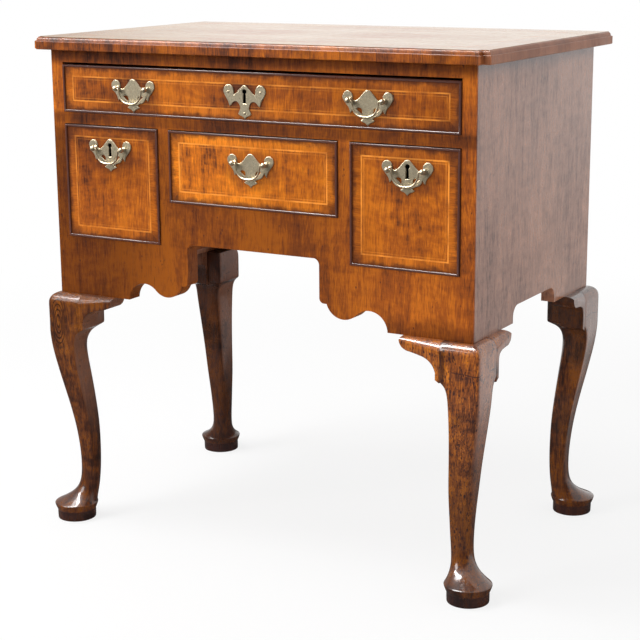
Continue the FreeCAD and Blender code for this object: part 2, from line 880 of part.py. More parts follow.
def prism(radius, sides, start, length, across=False):
    """A regular prism along +Y, or along +X if it runs across, from the middle of its first face. The radius
    is that of its flats, and the flats are square to the axes."""
    rod = doc.addObject("Part::Prism", "prism")
    rod.Polygon = sides
    rod.setExpression("Circumradius", (radius / math.cos(math.pi / sides)).text)
    rod.setExpression("Height", size(length).text)
    lay = Rotation(Vector(0, 1, 0), 90) if across else Rotation(Vector(1, 0, 0), -90)
    rod.Placement = Placement(Vector(), lay * Rotation(Vector(0, 0, 1), 180 / sides))
    return place(rod, start)


def shank_hole(start, length):
    """A tool for the hole that a post's shank passes through."""
    return prism(s["post_neck_radius"] + s["shank_clearance"], 2 * len(POST_TURNS), start, length)


def make_post():
    """A ball-headed post along +Y with its ball on the origin: ball, neck, collar and shank. The ball is
    bored from side to side for the pivots of the bail."""
    ball, neck, collar = s["ball_radius"], s["post_neck_radius"], s["post_collar_radius"]
    face = s["post_reach"] - s["plate_thickness"]
    side = [
        (ball * 0.42, -ball),
        (ball * 0.92, -ball * 0.42),
        (ball * 0.92, ball * 0.42),
        (neck, ball * 0.9),
        (neck, face - s["post_collar_height"]),
        (collar, face - s["post_collar_height"] / 2),
        (collar, face),
        (neck, face),
        (neck, s["post_reach"] + s["front_thickness"] + s["shank_tail"]),
    ]
    outline = side + mirror_points(side)
    silhouettes = [(turn, outline) for turn in POST_TURNS]
    turned = carve("post_pattern", "XY_Plane", Vector(0, 1, 0), ball * 2, silhouettes)
    bore = prism(s["pivot_radius"] + s["pivot_clearance"], 8, (0, 0, 0), ball * 4, across=True)
    return cut(turned, [place(bore, (-ball * 2, 0, 0))])


def make_nut():
    """The square nut inside the drawer that holds a post, with its first face on the origin."""
    block = prism(s["nut_radius"], 4, (0, 0, 0), s["nut_height"])
    return cut(block, [shank_hole((0, 0, 0), s["nut_height"])])


def make_bail():
    """The swinging handle about its own axis: a bar bent to a U with bevelled edges, and a pivot at the end
    of each arm that turns in the ball of a post."""
    arm, thick, reach = s["bail_width"] / 2, s["bail_radius"], s["ball_radius"] - 0.3
    bar = new_body("bail")
    outer, inner = bail_line(s["bail_corner"] + thick), bail_line(s["bail_corner"] - thick)
    outline = outer + mirror_points(outer) + mirror_points(inner)[::-1] + inner[::-1]
    block = pad_front(bar, -thick, thick * 2, outline)

    def on_face(one, other):
        return near(one.y, other.y) and near(abs(one.y), thick.value)

    chamfer(bar, block, thick * 0.55, on_face)
    length = s["post_spacing"] / 2 + reach - arm
    flats = s["pivot_radius"] * math.cos(math.pi / 8)
    pivots = [prism(flats, 8, (start, 0, 0), length, across=True) for start in (arm, -arm - length)]
    return fuse([bar, *pivots])


def bail_line(radius):
    """The right half of the bail, from the top of the arm to the bottom, drawn about the middle of its
    corner at some radius, with the corner in three chords."""
    middle, low = s["bail_width"] / 2 - s["bail_corner"], s["bail_corner"] - s["bail_drop"]
    line = [(middle + radius, s["bail_crown"])]
    for step in range(4):
        angle = -math.pi / 6 * step
        line.append((middle + radius * math.cos(angle), low + radius * math.sin(angle)))
    return line


def make_plate():
    """A batwing backplate about the middle of its posts, with two pierced teardrops."""
    plate = new_body("backplate")
    outlines = [chords(symmetrical(PLATE_HALF)), chords(TEARDROP), chords(opposite(TEARDROP))]
    placed = [moved(outline, 0, s["plate_rise"]) for outline in outlines]
    pad_front(plate, -s["plate_thickness"], s["plate_thickness"], *placed)
    half, thick = s["post_spacing"] / 2, s["plate_thickness"]
    return cut(plate, [shank_hole((x, -thick, 0), thick) for x in (-half, half)])


def make_escutcheon(x, z):
    """The long drawer's keyhole plate and its three pins."""
    plate = new_body("escutcheon_plate")
    outlines = [moved(chords(symmetrical(ESCUTCHEON_HALF)), x, z), keyhole(x, z - s["keyhole_drop"])]
    start = FRONT - s["plate_thickness"]
    pad_front(plate, start, s["plate_thickness"], *outlines)
    head = s["escutcheon_pin_head"]
    pins = [
        prism(s["escutcheon_pin_radius"], 8, (x + pin_x, start - head, z + pin_z), head)
        for pin_x, pin_z in ESCUTCHEON_PINS
    ]
    keep(compound([plate, *pins]), "escutcheon")


# --- drawers ---------------------------------------------------------------------------------------------


def bead_strip(label, outline, long_edge):
    """One mitred strip of cockbead with its nose eased."""
    strip = new_body(label)
    depth = s["bead_proud"] + s["bead_depth"]
    block = pad_front(strip, FRONT - s["bead_proud"], depth, outline)
    nose = (FRONT - s["bead_proud"]).value

    def on_nose(one, other):
        return near(one.y, nose) and near(other.y, nose) and long_edge(one, other)

    chamfer(strip, block, s["bead_nose"], on_nose)
    return strip


def make_cockbeads(name, low_x, low_z, high_x, high_z):
    """A projecting bead let into the edges of a drawer front, mitred at the corners."""
    width = s["bead_width"]
    outer = [(low_x, low_z), (high_x, low_z), (high_x, high_z), (low_x, high_z)]
    inner = [
        (low_x + width, low_z + width),
        (high_x - width, low_z + width),
        (high_x - width, high_z - width),
        (low_x + width, high_z - width),
    ]
    strips = []
    for side in range(4):
        after = (side + 1) % 4
        outline = [outer[side], outer[after], inner[after], inner[side]]
        level = side % 2 == 0

        def along(one, other, level=level):
            return near(one.z, other.z) if level else near(one.x, other.x)

        strips.append(bead_strip(f"{name}_bead_{side + 1}", outline, along))
    keep(compound(strips), f"{name}_drawer_cockbeads")


def make_front(name, low_x, low_z, high_x, high_z, tools):
    """A drawer front, rebated round its face for the cockbeads and cut for its lock and posts."""
    front = new_body(f"{name}_front_blank")
    width, rebate = s["bead_width"], s["bead_depth"]
    pad_front(
        front, FRONT + rebate, s["front_thickness"] - rebate, rectangle(low_x, low_z, high_x, high_z)
    )
    face = rectangle(low_x + width, low_z + width, high_x - width, high_z - width)
    pad_front(front, FRONT, rebate, face)
    keep(cut(front, tools), f"{name}_drawer_front")


def make_lock(name, x, top):
    """A lock let into the back of the drawer front, with a bolt that shoots up into the rail above."""
    back = FRONT + s["front_thickness"]
    half = s["lock_width"] / 2
    low = (x - half, back - s["lock_depth"], top - s["lock_height"])
    high = (x + half, back, top)
    gap, middle = s["bolt_clearance"], back - s["lock_depth"] / 2
    bolt_low = (x - s["bolt_width"] / 2, middle - s["bolt_thickness"] / 2, top - gap - s["bolt_length"])
    bolt_high = (x + s["bolt_width"] / 2, middle + s["bolt_thickness"] / 2, top - gap)
    slot = box([value - gap for value in bolt_low], (bolt_high[0] + gap, bolt_high[1] + gap, top))
    keep(cut(box(low, high), [slot]), f"{name}_lock_case")
    keep(box(bolt_low, bolt_high), f"{name}_lock_bolt")
    return box(low, high), (bolt_low, bolt_high)


def make_handle(brasses, name, x, z, keyed):
    """A handle's backplate and bail. A keyed one is pierced for the lock."""
    plate = copy_at(brasses["plate"], (x, FRONT, z))
    if keyed:
        tool = new_body(f"{name}_plate_keyhole")
        outline = keyhole(x, z + s["plate_rise"] - s["keyhole_drop"])
        pad_front(tool, FRONT - s["plate_thickness"], s["plate_thickness"], outline)
        plate = cut(plate, [tool])
    keep(plate, f"{name}_backplate")
    keep(copy_at(brasses["bail"], (x, FRONT - s["post_reach"], z)), f"{name}_bail")


def make_drawer(brasses, name, opening, handles, lock_at):
    """One drawer in its opening, given as low x, low z, high x, high z. The handles are given by name and
    place, and the lock, if there is one, by the middle of its keyhole."""
    low_x, high_x = opening[0] + s["side_gap"], opening[2] - s["side_gap"]
    low_z, high_z = opening[1] + s["running_gap"], opening[3] - s["head_gap"]
    behind, rear = FRONT + s["front_thickness"], BACK_INNER - s["rear_gap"]
    side, lift = s["drawer_side"], low_z + s["bottom_lift"]
    side_top, floor = high_z - s["side_drop"], lift + s["drawer_bottom"]
    make_cockbeads(name, low_x, low_z, high_x, high_z)
    tools, bolt = [], None
    if lock_at:
        notch, bolt = make_lock(name, lock_at[0], high_z)
        hole = new_body(f"{name}_keyhole")
        pad_front(hole, FRONT, s["front_thickness"], keyhole(*lock_at))
        tools += [notch, hole]
    fastenings = []
    for label, x, z in handles:
        for post_x in (x - s["post_spacing"] / 2, x + s["post_spacing"] / 2):
            tools.append(shank_hole((post_x, FRONT, z), s["front_thickness"]))
            fastenings.append(copy_at(brasses["post"], (post_x, FRONT - s["post_reach"], z)))
            fastenings.append(copy_at(brasses["nut"], (post_x, behind, z)))
        make_handle(brasses, label, x, z, lock_at and len(handles) == 1)
    keep(compound(fastenings), f"{name}_drawer_posts")
    make_front(name, low_x, low_z, high_x, high_z, tools)
    inner_low, inner_high, inner_rear = low_x + side, high_x - side, rear - s["drawer_back"]
    sides = [box((x, behind, low_z), (x + side, rear, side_top)) for x in (low_x, inner_high)]
    keep(compound(sides), f"{name}_drawer_sides")
    keep(box((inner_low, behind, lift), (inner_high, rear, floor)), f"{name}_drawer_bottom")
    keep(box((inner_low, inner_rear, floor), (inner_high, rear, side_top)), f"{name}_drawer_back")
    return bolt


def make_rails(bolts):
    """The rails above the drawers, mortised where a lock's bolt enters them."""
    for label, bottom, top, entries in (
        ("top_rail", TOP_RAIL_BOTTOM, CASE_TOP, bolts[:1]),
        ("middle_rail", RAIL_BOTTOM, RAIL_TOP, bolts[1:]),
    ):
        rail = box((-INNER_RIGHT, FRONT, bottom), (INNER_RIGHT, FRONT + s["rail_depth"], top))
        gap, end = s["mortise_clearance"], bottom + s["bolt_travel"]
        mortises = [
            box((low[0] - gap, low[1] - gap, bottom), (high[0] + gap, high[1] + gap, end))
            for low, high in entries
        ]
        keep(cut(rail, mortises), label)


def make_drawers():
    """The long drawer, which has worn low in its opening, and the three short ones below it. The lock bolts'
    places are given back."""
    brasses = {"post": make_post(), "nut": make_nut(), "plate": make_plate(), "bail": make_bail()}
    upper_z, lower_z = RAIL_TOP + s["upper_handle_height"], RAIL_BOTTOM - s["lower_handle_drop"]
    key_z = lower_z + s["plate_rise"] - s["keyhole_drop"]
    escutcheon_z = TOP_RAIL_BOTTOM - s["escutcheon_drop"]
    make_escutcheon(s["escutcheon_offset"], escutcheon_z)
    top_left_x = s["upper_handle_shift"] - s["upper_handle_spacing"] / 2
    top_right_x = s["upper_handle_shift"] + s["upper_handle_spacing"] / 2
    top_bolt = make_drawer(
        brasses,
        "top",
        (-INNER_RIGHT, RAIL_TOP, INNER_RIGHT, TOP_RAIL_BOTTOM - s["worn_head_gap"]),
        [("top_left", top_left_x, upper_z), ("top_right", top_right_x, upper_z)],
        (s["escutcheon_offset"], escutcheon_z - s["keyhole_drop"]),
    )
    centre_z = lower_z - s["centre_handle_lowering"]
    centre = (CENTRE_LEFT, CENTRE_APRON_TOP, CENTRE_RIGHT, RAIL_BOTTOM)
    make_drawer(brasses, "centre", centre, [("centre", s["centre_opening_shift"], centre_z)], None)
    left_x = (LEFT_DIVIDER_OUTER - INNER_RIGHT) / 2 + s["left_handle_shift"]
    left = (-INNER_RIGHT, APRON_TOP, LEFT_DIVIDER_OUTER, RAIL_BOTTOM)
    left_bolt = make_drawer(brasses, "left", left, [("left", left_x, lower_z)], (left_x, key_z))
    right_x = (RIGHT_DIVIDER_OUTER + INNER_RIGHT) / 2 + s["right_handle_shift"]
    right = (RIGHT_DIVIDER_OUTER, APRON_TOP, INNER_RIGHT, RAIL_BOTTOM)
    right_bolt = make_drawer(brasses, "right", right, [("right", right_x, lower_z)], (right_x, key_z))
    return [top_bolt, left_bolt, right_bolt]


def main():
    make_top()
    make_sides()
    make_back()
    make_apron()
    make_dividers()
    make_runners()
    make_legs()
    make_ears()
    make_rails(make_drawers())
    doc.recompute()
    for item in doc.Objects:
        if "Invalid" in item.State or "Error" in item.State:
            raise RuntimeError(f"{item.Name} ({item.Label}) did not compute")
    labels = [piece.Label for piece in nodes]
    assert len(set(labels)) == len(labels), "two sub-parts share a name"
    for piece in nodes:
        if piece.Shape.isNull() or not piece.Shape.isValid() or not piece.Shape.Solids:
            raise RuntimeError(f"{piece.Label} has no valid shape")
    os.makedirs("parts", exist_ok=True)
    for piece in nodes:
        piece.Shape.exportStep(f"parts/{piece.Label}.step")
    print(len(nodes), "sub-parts written")


main()
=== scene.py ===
"""Dress the walnut lowboy: shaped legs and ears, moulding, cockbeads, brasses, and the finish of every board.

The pieces of the frame keep their place and size. Lengths are in metres. Z is up, and -Y is the drawer side.
"""
import math

import bmesh
import bpy
from bpy.props import FloatProperty, FloatVectorProperty, IntProperty, PointerProperty
from mathutils import Matrix, Vector


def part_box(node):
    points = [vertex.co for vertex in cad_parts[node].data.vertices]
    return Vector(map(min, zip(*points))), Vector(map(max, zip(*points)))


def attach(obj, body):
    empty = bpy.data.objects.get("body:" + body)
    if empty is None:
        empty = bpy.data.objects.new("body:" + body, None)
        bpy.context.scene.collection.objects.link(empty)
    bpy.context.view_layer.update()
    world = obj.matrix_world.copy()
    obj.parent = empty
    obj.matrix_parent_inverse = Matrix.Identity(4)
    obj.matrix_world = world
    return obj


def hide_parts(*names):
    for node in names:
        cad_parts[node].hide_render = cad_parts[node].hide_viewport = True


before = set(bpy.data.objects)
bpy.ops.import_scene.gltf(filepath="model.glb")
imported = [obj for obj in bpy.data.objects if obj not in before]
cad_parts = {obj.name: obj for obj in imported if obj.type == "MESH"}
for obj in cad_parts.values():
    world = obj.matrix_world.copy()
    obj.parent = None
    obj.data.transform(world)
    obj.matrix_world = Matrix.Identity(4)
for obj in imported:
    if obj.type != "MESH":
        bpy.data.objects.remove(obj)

bl_info = {
    "name": "Walnut lowboy",
    "version": (1, 0, 0),
    "blender": (4, 5, 0),
    "location": "View3D > Sidebar > Lowboy",
    "description": "Shapes and finishes a walnut lowboy on its frame of boards",
    "category": "Object",
}

MM = 0.001
CASE_LOW, CASE_HIGH = Vector(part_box("left_side")[0]), Vector(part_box("right_side")[1])
CASE_RIGHT, CASE_BACK = CASE_HIGH.x, CASE_HIGH.y
CASE_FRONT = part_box("front_apron")[0][1]
CASE_FOOT = CASE_LOW.z
DRAWERS = ("top", "left", "centre", "right")
HANDLES = {"top_left": "top", "top_right": "top", "left": "left", "centre": "centre", "right": "right"}
LEGS = {"front_right": (1, -1), "front_left": (-1, -1), "back_right": (1, 1), "back_left": (-1, 1)}


# --- sizes and colours a user may change -----------------------------------------------------------------


def length(name, description, default):
    settings = {"default": default, "min": 0, "unit": "LENGTH", "precision": 5}
    return FloatProperty(name=name, description=description, **settings)


def tint(name, description, default):
    return FloatVectorProperty(
        name=name, description=description, default=default, size=3, min=0, max=1, subtype="COLOR"
    )


def power(name, description, default):
    return FloatProperty(name=name, description=description, default=default, min=0, unit="POWER")


class LowboyShape(bpy.types.PropertyGroup):
    """Sizes of the shaped pieces."""

    shoulder: length("Ear shoulder", "Radius of the shoulder along the top of the ears", 0.0146)
    bead_width: length("Cockbead width", "Width of the bead round each drawer", 0.0032)
    band_width: length("Crossband width", "Width of the crossbanding of a drawer front", 0.0132)
    line_width: length("Line width", "Width of the inlaid line of a drawer front", 0.0021)
    margin: length("Top margin", "Width of the crossbanding of the top", 0.042)
    plate_bevel: length("Plate bevel", "Width of the filed bevel round each brass plate", 0.00085)
    bail_radius: length("Bail radius", "Half thickness of a bail at its ends", 0.00118)
    smoothness: IntProperty(
        name="Smoothness", description="Subdivision levels of the legs", default=3, min=1, max=4
    )


class LowboyColours(bpy.types.PropertyGroup):
    """Colours of the woods and metals."""

    amber: tint("Amber", "Lightest tone of the drawer veneer", (0.64, 0.17, 0.012))
    russet: tint("Russet", "Middle tone of the front veneer", (0.38, 0.088, 0.008))
    honey: tint("Honey", "Lightest tone of the middle drawer", (0.92, 0.27, 0.014))
    ginger: tint("Ginger", "Middle tone of the middle drawer", (0.6, 0.15, 0.008))
    umber: tint("Umber", "Dark tone of the walnut", (0.105, 0.026, 0.008))
    # The stain tone is also used as painted shade: below the top on the ends, and on the step at the top's
    # edge.
    stain: tint("Stain", "Purple-black stain beside the beads", (0.035, 0.012, 0.012))
    stringing: tint("Stringing", "Pale inlaid line", (0.98, 0.34, 0.045))
    end_grey: tint("End board", "Faded walnut of the ends", (0.3, 0.125, 0.07))
    faded: tint("Faded top", "Sun-faded veneer of the top", (0.5, 0.3, 0.14))
    leg: tint("Leg", "Middle tone of the legs", (0.33, 0.085, 0.012))
    oak: tint("Oak", "Unpolished drawer lining", (0.3, 0.18, 0.085))
    brass: tint("Brass", "Clean brass", (0.68, 0.58, 0.4))
    tarnish: tint("Tarnish", "Dull greenish film on the brass", (0.27, 0.235, 0.165))
    iron: tint("Iron", "Locks and bolts", (0.16, 0.13, 0.11))


class LowboyStudio(bpy.types.PropertyGroup):
    """The stage, its lamps and the camera."""

    key: power("Key lamp", "Power of the lamp in front, on the left", 52)
    overhead: power("Overhead lamp", "Power of the lamp above", 26)
    strip: power("Strip lamp", "Power of the lamp seen in polish", 95)
    fill: FloatProperty(name="Fill", description="Strength of the light from all round", default=0.62, min=0)
    focal: FloatProperty(name="Focal length", description="Focal length in millimetres", default=90.74)
    camera: FloatVectorProperty(
        name="Camera",
        description="Where the camera stands",
        default=(1.15074, -1.99805, 0.85281),
        subtype="TRANSLATION",
        unit="LENGTH",
    )


# --- modelling by hand -----------------------------------------------------------------------------------


def box_of(node):
    """The low corner, the high corner and the middle of a node of the frame."""
    low, high = (Vector(corner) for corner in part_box(node))
    return low, high, (low + high) / 2


def let_go():
    """Leave edit mode and select nothing."""
    if bpy.context.object and bpy.context.object.mode != "OBJECT":
        bpy.ops.object.mode_set(mode="OBJECT")
    bpy.ops.object.select_all(action="DESELECT")


def edit():
    bpy.ops.object.mode_set(mode="EDIT")


def pick_all():
    bpy.ops.mesh.select_all(action="SELECT")


def hold(*pieces):
    """Select these pieces and nothing else, with the first one active."""
    let_go()
    for piece in pieces:
        piece.select_set(True)
    bpy.context.view_layer.objects.active = pieces[0]


def join(pieces, name):
    hold(*pieces)
    bpy.ops.object.join()
    pieces[0].name = name
    return pieces[0]


def discard(piece):
    let_go()
    bpy.data.objects.remove(piece)


def pick(kind, test):
    """In edit mode, select the vertices, edges or faces that answer test, and nothing else."""
    bpy.ops.mesh.select_mode(type=kind)
    bpy.ops.mesh.select_all(action="DESELECT")
    mesh = bmesh.from_edit_mesh(bpy.context.object.data)
    for part in {"VERT": mesh.verts, "EDGE": mesh.edges, "FACE": mesh.faces}[kind]:
        if test(part):
            part.select_set(True)
    mesh.select_flush_mode()
    bmesh.update_edit_mesh(bpy.context.object.data)


def near(one, other, slack=1e-5):
    return abs(one - other) < slack


def grow(shift, size=(1, 1, 1), centre=(0, 0, 0)):
    """Extrude what is selected by shift, then scale its new end about centre."""
    bpy.ops.mesh.extrude_region_move(TRANSFORM_OT_translate={"value": shift})
    if tuple(size) != (1, 1, 1):
        bpy.ops.transform.resize(value=size, center_override=centre)


def tidy(merge=1e-6):
    """Merge doubles, turn the faces outwards and leave edit mode."""
    pick_all()
    bpy.ops.mesh.remove_doubles(threshold=merge)
    bpy.ops.mesh.normals_make_consistent(inside=False)
    bpy.ops.object.mode_set(mode="OBJECT")


def apply_place(piece):
    hold(piece)
    bpy.ops.object.transform_apply(location=True, rotation=True, scale=True)


def again(piece, name, shift=(0, 0, 0), flip=(1, 1, 1)):
    """A copy with its own mesh, moved, or mirrored where flip is -1."""
    let_go()
    copy = piece.copy()
    copy.data = piece.data.copy()
    copy.name = copy.data.name = name
    bpy.context.collection.objects.link(copy)
    copy.location, copy.scale = Vector(shift), flip
    apply_place(copy)
    if flip[0] * flip[1] * flip[2] < 0:
        edit()
        tidy()
    return copy


def finish(piece, material, body, nodes, angle=35):
    """Smooth a piece, give it its finish, and put it in place of the frame's own."""
    hold(piece)
    bpy.ops.object.shade_smooth_by_angle(angle=math.radians(angle))
    if material:
        piece.data.materials.clear()
        piece.data.materials.append(material)
    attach(piece, body)
    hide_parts(*nodes)


def outline_curve(name, loops, depth, bevel):
    """A flat plate cut to closed outlines and bevelled, lying in XY and centred on z = 0. Each outline is a
    list of (x, y) and of (x, y, bulge), where bulge is the tangent of a quarter of the arc's angle."""
    let_go()
    bpy.ops.curve.primitive_bezier_circle_add(location=(0, 0, 0))
    piece = bpy.context.object
    piece.name = name
    curve = piece.data
    curve.splines.clear()
    curve.dimensions, curve.fill_mode = "2D", "BOTH"
    curve.extrude, curve.bevel_depth, curve.bevel_resolution = depth / 2 - bevel, bevel, 1
    curve.offset = -bevel
    curve.resolution_u = 6
    for loop in loops:
        spline = curve.splines.new("BEZIER")
        spline.use_cyclic_u = True
        spline.bezier_points.add(len(loop) - 1)
        for point in spline.bezier_points:
            point.handle_left_type = point.handle_right_type = "FREE"
        for index, entry in enumerate(loop):
            before = loop[index - 1]
            start, end = Vector((before[0], before[1], 0)), Vector((entry[0], entry[1], 0))
            bulge = entry[2] if len(entry) > 2 else 0
            turn, chord = 2 * math.atan(bulge), end - start
            reach = chord.length / 3
            if bulge:
                reach = chord.length / (2 * abs(math.sin(turn))) * 4 / 3 * abs(math.tan(turn / 2))
            lead = chord.normalized() * reach
            spline.bezier_points[index - 1].handle_right = start + Matrix.Rotation(-turn, 3, "Z") @ lead
            spline.bezier_points[index].handle_left = end - Matrix.Rotation(turn, 3, "Z") @ lead
            spline.bezier_points[index].co = end
    return piece


def to_mesh(piece):
    hold(piece)
    bpy.ops.object.convert(target="MESH")
    piece = bpy.context.object
    edit()
    tidy(2e-5)
    return piece


def mirror_half(half):
    """A whole outline from its right half, which starts at the peak and ends at the tail."""
    left = [(-half[i][0], half[i][1], *half[i + 1][2:]) for i in range(len(half) - 2, 0, -1)]
    return [(half[0][0], half[0][1], *half[1][2:])] + half[1:] + left


def mirror_loop(loop):
    after = loop[1:] + loop[:1]
    return [(-point[0], point[1], *follower[2:]) for point, follower in zip(loop, after)][::-1]


def scaled(loop, rise=0.0):
    """An outline written in millimetres, in metres and raised."""
    return [(entry[0] * MM, entry[1] * MM + rise, *entry[2:]) for entry in loop]


# --- finishes --------------------------------------------------------------------------------------------


class Recipe:
    """Adds nodes to a material or a shader group, and feeds their sockets."""

    def __init__(self, tree):
        self.tree = tree

    def add(self, kind, feeds=None, **settings):
        node = self.tree.nodes.new(f"ShaderNode{kind}")
        for name, value in settings.items():
            setattr(node, name, value)
        return self.give(node, feeds or {})

    def give(self, node, feeds):
        for name, value in feeds.items():
            self.feed(node.inputs[name], value)
        return node

    def feed(self, socket, value):
        if isinstance(value, bpy.types.NodeSocket):
            self.tree.links.new(value, socket)
        elif socket.type == "RGBA":
            socket.default_value = (*tuple(value)[:3], 1.0)
        else:
            socket.default_value = value

    def sum(self, operation, *values):
        return self.add("Math", dict(enumerate(values)), operation=operation).outputs[0]

    def times(self, one, other):
        return self.sum("MULTIPLY", one, other)

    def plus(self, one, other):
        return self.sum("ADD", one, other)

    def minus(self, one, other):
        return self.sum("SUBTRACT", one, other)

    def absolute(self, value):
        return self.sum("ABSOLUTE", value)

    def apart(self, one, other):
        """How far two values are apart."""
        return self.absolute(self.minus(one, other))

    def below(self, value, limit):
        """1 where the value is below the limit, and 0 elsewhere."""
        return self.sum("LESS_THAN", value, limit)

    def swing(self, value, share):
        """How far a value between 0 and 1 is from its middle, times share."""
        return self.times(self.minus(value, 0.5), share)

    def most(self, first, *others):
        for other in others:
            first = self.sum("MAXIMUM", first, other)
        return first

    def least(self, one, other):
        return self.sum("MINIMUM", one, other)

    def ease(self, value, low, high, start=0.0, end=1.0):
        """A smooth change from start to end while value goes from low to high."""
        feeds = {"Value": value, 1: low, 2: high, 3: start, 4: end}
        return self.add("MapRange", feeds, interpolation_type="SMOOTHSTEP").outputs[0]

    def blend(self, share, one, other, kind="MIX"):
        """Two colours blended."""
        feeds = {0: share, 6: one, 7: other}
        return self.add("Mix", feeds, data_type="RGBA", blend_type=kind).outputs[2]

    def darken(self, share, colour, stain=(0.16, 0.14, 0.17)):
        """A colour made darker by a dark tone through which its grain still shows: a stain, and in some
        places painted shade.
        """
        return self.blend(share, colour, stain, "MULTIPLY")

    def split(self, vector):
        return self.add("SeparateXYZ", {0: vector}).outputs

    def vector(self, x, y, z):
        return self.add("CombineXYZ", {0: x, 1: y, 2: z}).outputs[0]

    def stretch(self, vector, scale, shift=(0, 0, 0)):
        return self.add("Mapping", {"Vector": vector, "Location": shift, "Scale": scale}).outputs[0]

    def noise(self, vector, scale, detail=2.0, roughness=0.5):
        feeds = {"Vector": vector, "Scale": scale, "Detail": detail, "Roughness": roughness}
        return self.add("TexNoise", feeds).outputs[0]

    def place(self):
        return self.add("TexCoord").outputs["Object"]

    def normal(self):
        return self.add("TexCoord").outputs["Normal"]

    def group(self, tree, feeds):
        return self.give(self.add("Group", node_tree=tree), feeds).outputs


def shader_group(name, inputs, outputs):
    """An empty shader group with its sockets: its tree, its recipe, its inputs and its output node."""
    tree = bpy.data.node_groups.new(name, "ShaderNodeTree")
    for way, sockets in (("INPUT", inputs), ("OUTPUT", outputs)):
        for label, kind in sockets.items():
            tree.interface.new_socket(name=label, in_out=way, socket_type=f"NodeSocket{kind}")
    given = tree.nodes.new("NodeGroupInput").outputs
    return tree, Recipe(tree), given, tree.nodes.new("NodeGroupOutput")


def make_grain():
    """Walnut figure along Z: growth streaks, broad clouds, cross curl and open pores."""
    inputs = {"Vector": "Vector", "Dark": "Color", "Middle": "Color", "Light": "Color"}
    inputs.update({"Streaks": "Float", "Clouds": "Float", "Curl": "Float", "Pores": "Float"})
    outputs = {"Color": "Color", "Height": "Float", "Shade": "Float"}
    tree, mix, given, out = shader_group("Walnut grain", inputs, outputs)
    gentle = mix.stretch(given["Vector"], (6, 6, 2.2))
    sway = mix.add("TexNoise", {"Vector": gentle, "Scale": 1.0, "Detail": 2.0}).outputs["Color"]
    shift = mix.add("VectorMath", {0: sway, 1: (0.5, 0.5, 0.5)}, operation="SUBTRACT").outputs[0]
    shift = mix.add("VectorMath", {0: shift, "Scale": 0.045}, operation="SCALE").outputs[0]
    wavy = mix.add("VectorMath", {0: given["Vector"], 1: shift}, operation="ADD").outputs[0]
    long = mix.stretch(wavy, (1, 1, 0.11))
    tone = mix.noise(long, 110, 6, 0.72)
    fine = mix.noise(long, 620, 3, 0.65)
    broad = mix.noise(mix.stretch(wavy, (1, 1, 0.35)), 10, 3, 0.55)
    curl = mix.noise(mix.stretch(wavy, (0.4, 0.4, 1)), 95, 4, 0.6)
    shade = mix.plus(0.5, mix.swing(tone, given["Streaks"]))
    shade = mix.plus(shade, mix.swing(fine, mix.times(given["Streaks"], 0.8)))
    shade = mix.plus(shade, mix.swing(broad, mix.times(given["Clouds"], 1.25)))
    shade = mix.plus(shade, mix.swing(curl, given["Curl"]))
    low = mix.blend(mix.ease(shade, 0.12, 0.5), given["Dark"], given["Middle"])
    colour = mix.blend(mix.ease(shade, 0.42, 0.76), low, given["Light"])
    pores = mix.ease(mix.noise(mix.stretch(wavy, (1, 1, 0.03)), 1300, 2, 0.6), 0.58, 0.68)
    pores = mix.times(pores, given["Pores"])
    colour = mix.blend(mix.times(pores, 0.6), colour, given["Dark"])
    height = mix.minus(mix.times(fine, 0.4), pores)
    mix.give(out, {"Color": colour, "Height": height, "Shade": shade})
    return tree


def make_frame_mask():
    """Where a point of a drawer front lies in it: the crossbanding, the inlaid line, and the way in."""
    inputs = {"Vector": "Vector", "Low X": "Float", "Low Z": "Float", "High X": "Float", "High Z": "Float"}
    inputs.update({"Band": "Float", "Line": "Float"})
    outputs = {"Band": "Float", "Line": "Float", "Sides": "Float", "Inward": "Float", "Corner": "Float"}
    tree, mix, given, out = shader_group("Drawer front layout", inputs, outputs)
    x, _, z = mix.split(given["Vector"])
    in_x = mix.least(mix.minus(x, given["Low X"]), mix.minus(given["High X"], x))
    in_z = mix.least(mix.minus(z, given["Low Z"]), mix.minus(given["High Z"], z))
    inward = mix.least(in_x, in_z)
    band = mix.below(inward, given["Band"])
    line = mix.below(mix.apart(inward, given["Band"]), mix.times(given["Line"], 0.5))
    mix.give(out, {"Inward": inward, "Corner": mix.plus(in_x, in_z), "Band": band, "Line": line})
    mix.give(out, {"Sides": mix.below(in_x, in_z)})
    return tree


def make_halo():
    """Dirt left by polishing round a brass plate."""
    inputs = {"Vector": "Vector", "X": "Float", "Z": "Float", "Half width": "Float", "Half height": "Float"}
    tree, mix, given, out = shader_group("Dirt round a plate", inputs, {"Mask": "Float"})
    x, _, z = mix.split(given["Vector"])
    across = mix.sum("DIVIDE", mix.minus(x, given["X"]), given["Half width"])
    upward = mix.sum("DIVIDE", mix.minus(z, given["Z"]), given["Half height"])
    far = mix.sum("SQRT", mix.plus(mix.times(across, across), mix.times(upward, upward)))
    ragged = mix.plus(far, mix.swing(mix.noise(given["Vector"], 70, 3), 0.7))
    mix.give(out, {"Mask": mix.ease(ragged, 0.85, 1.5, 1.0, 0.0)})
    return tree


def make_bruises():
    """Small dents, worm holes and scratches, as a dark mask."""
    inputs = {"Vector": "Vector", "Amount": "Float", "Crowd": "Float"}
    tree, mix, given, out = shader_group("Dents and worm", inputs, {"Mask": "Float"})
    long = mix.stretch(given["Vector"], (1, 1, 0.5))
    spots = mix.add("TexVoronoi", {"Vector": long, "Scale": 210.0})
    size = mix.noise(given["Vector"], 60, 3)
    reach = mix.ease(mix.plus(size, given["Crowd"]), 0.5, 0.75, 0.02, 0.36)
    hole = mix.ease(mix.minus(reach, spots.outputs["Distance"]), 0.0, 0.12)
    mix.give(out, {"Mask": mix.times(hole, given["Amount"])})
    return tree


def blank(owner):
    """A recipe for the emptied nodes of a material or a world."""
    owner.use_nodes = True
    owner.node_tree.nodes.clear()
    return Recipe(owner.node_tree)


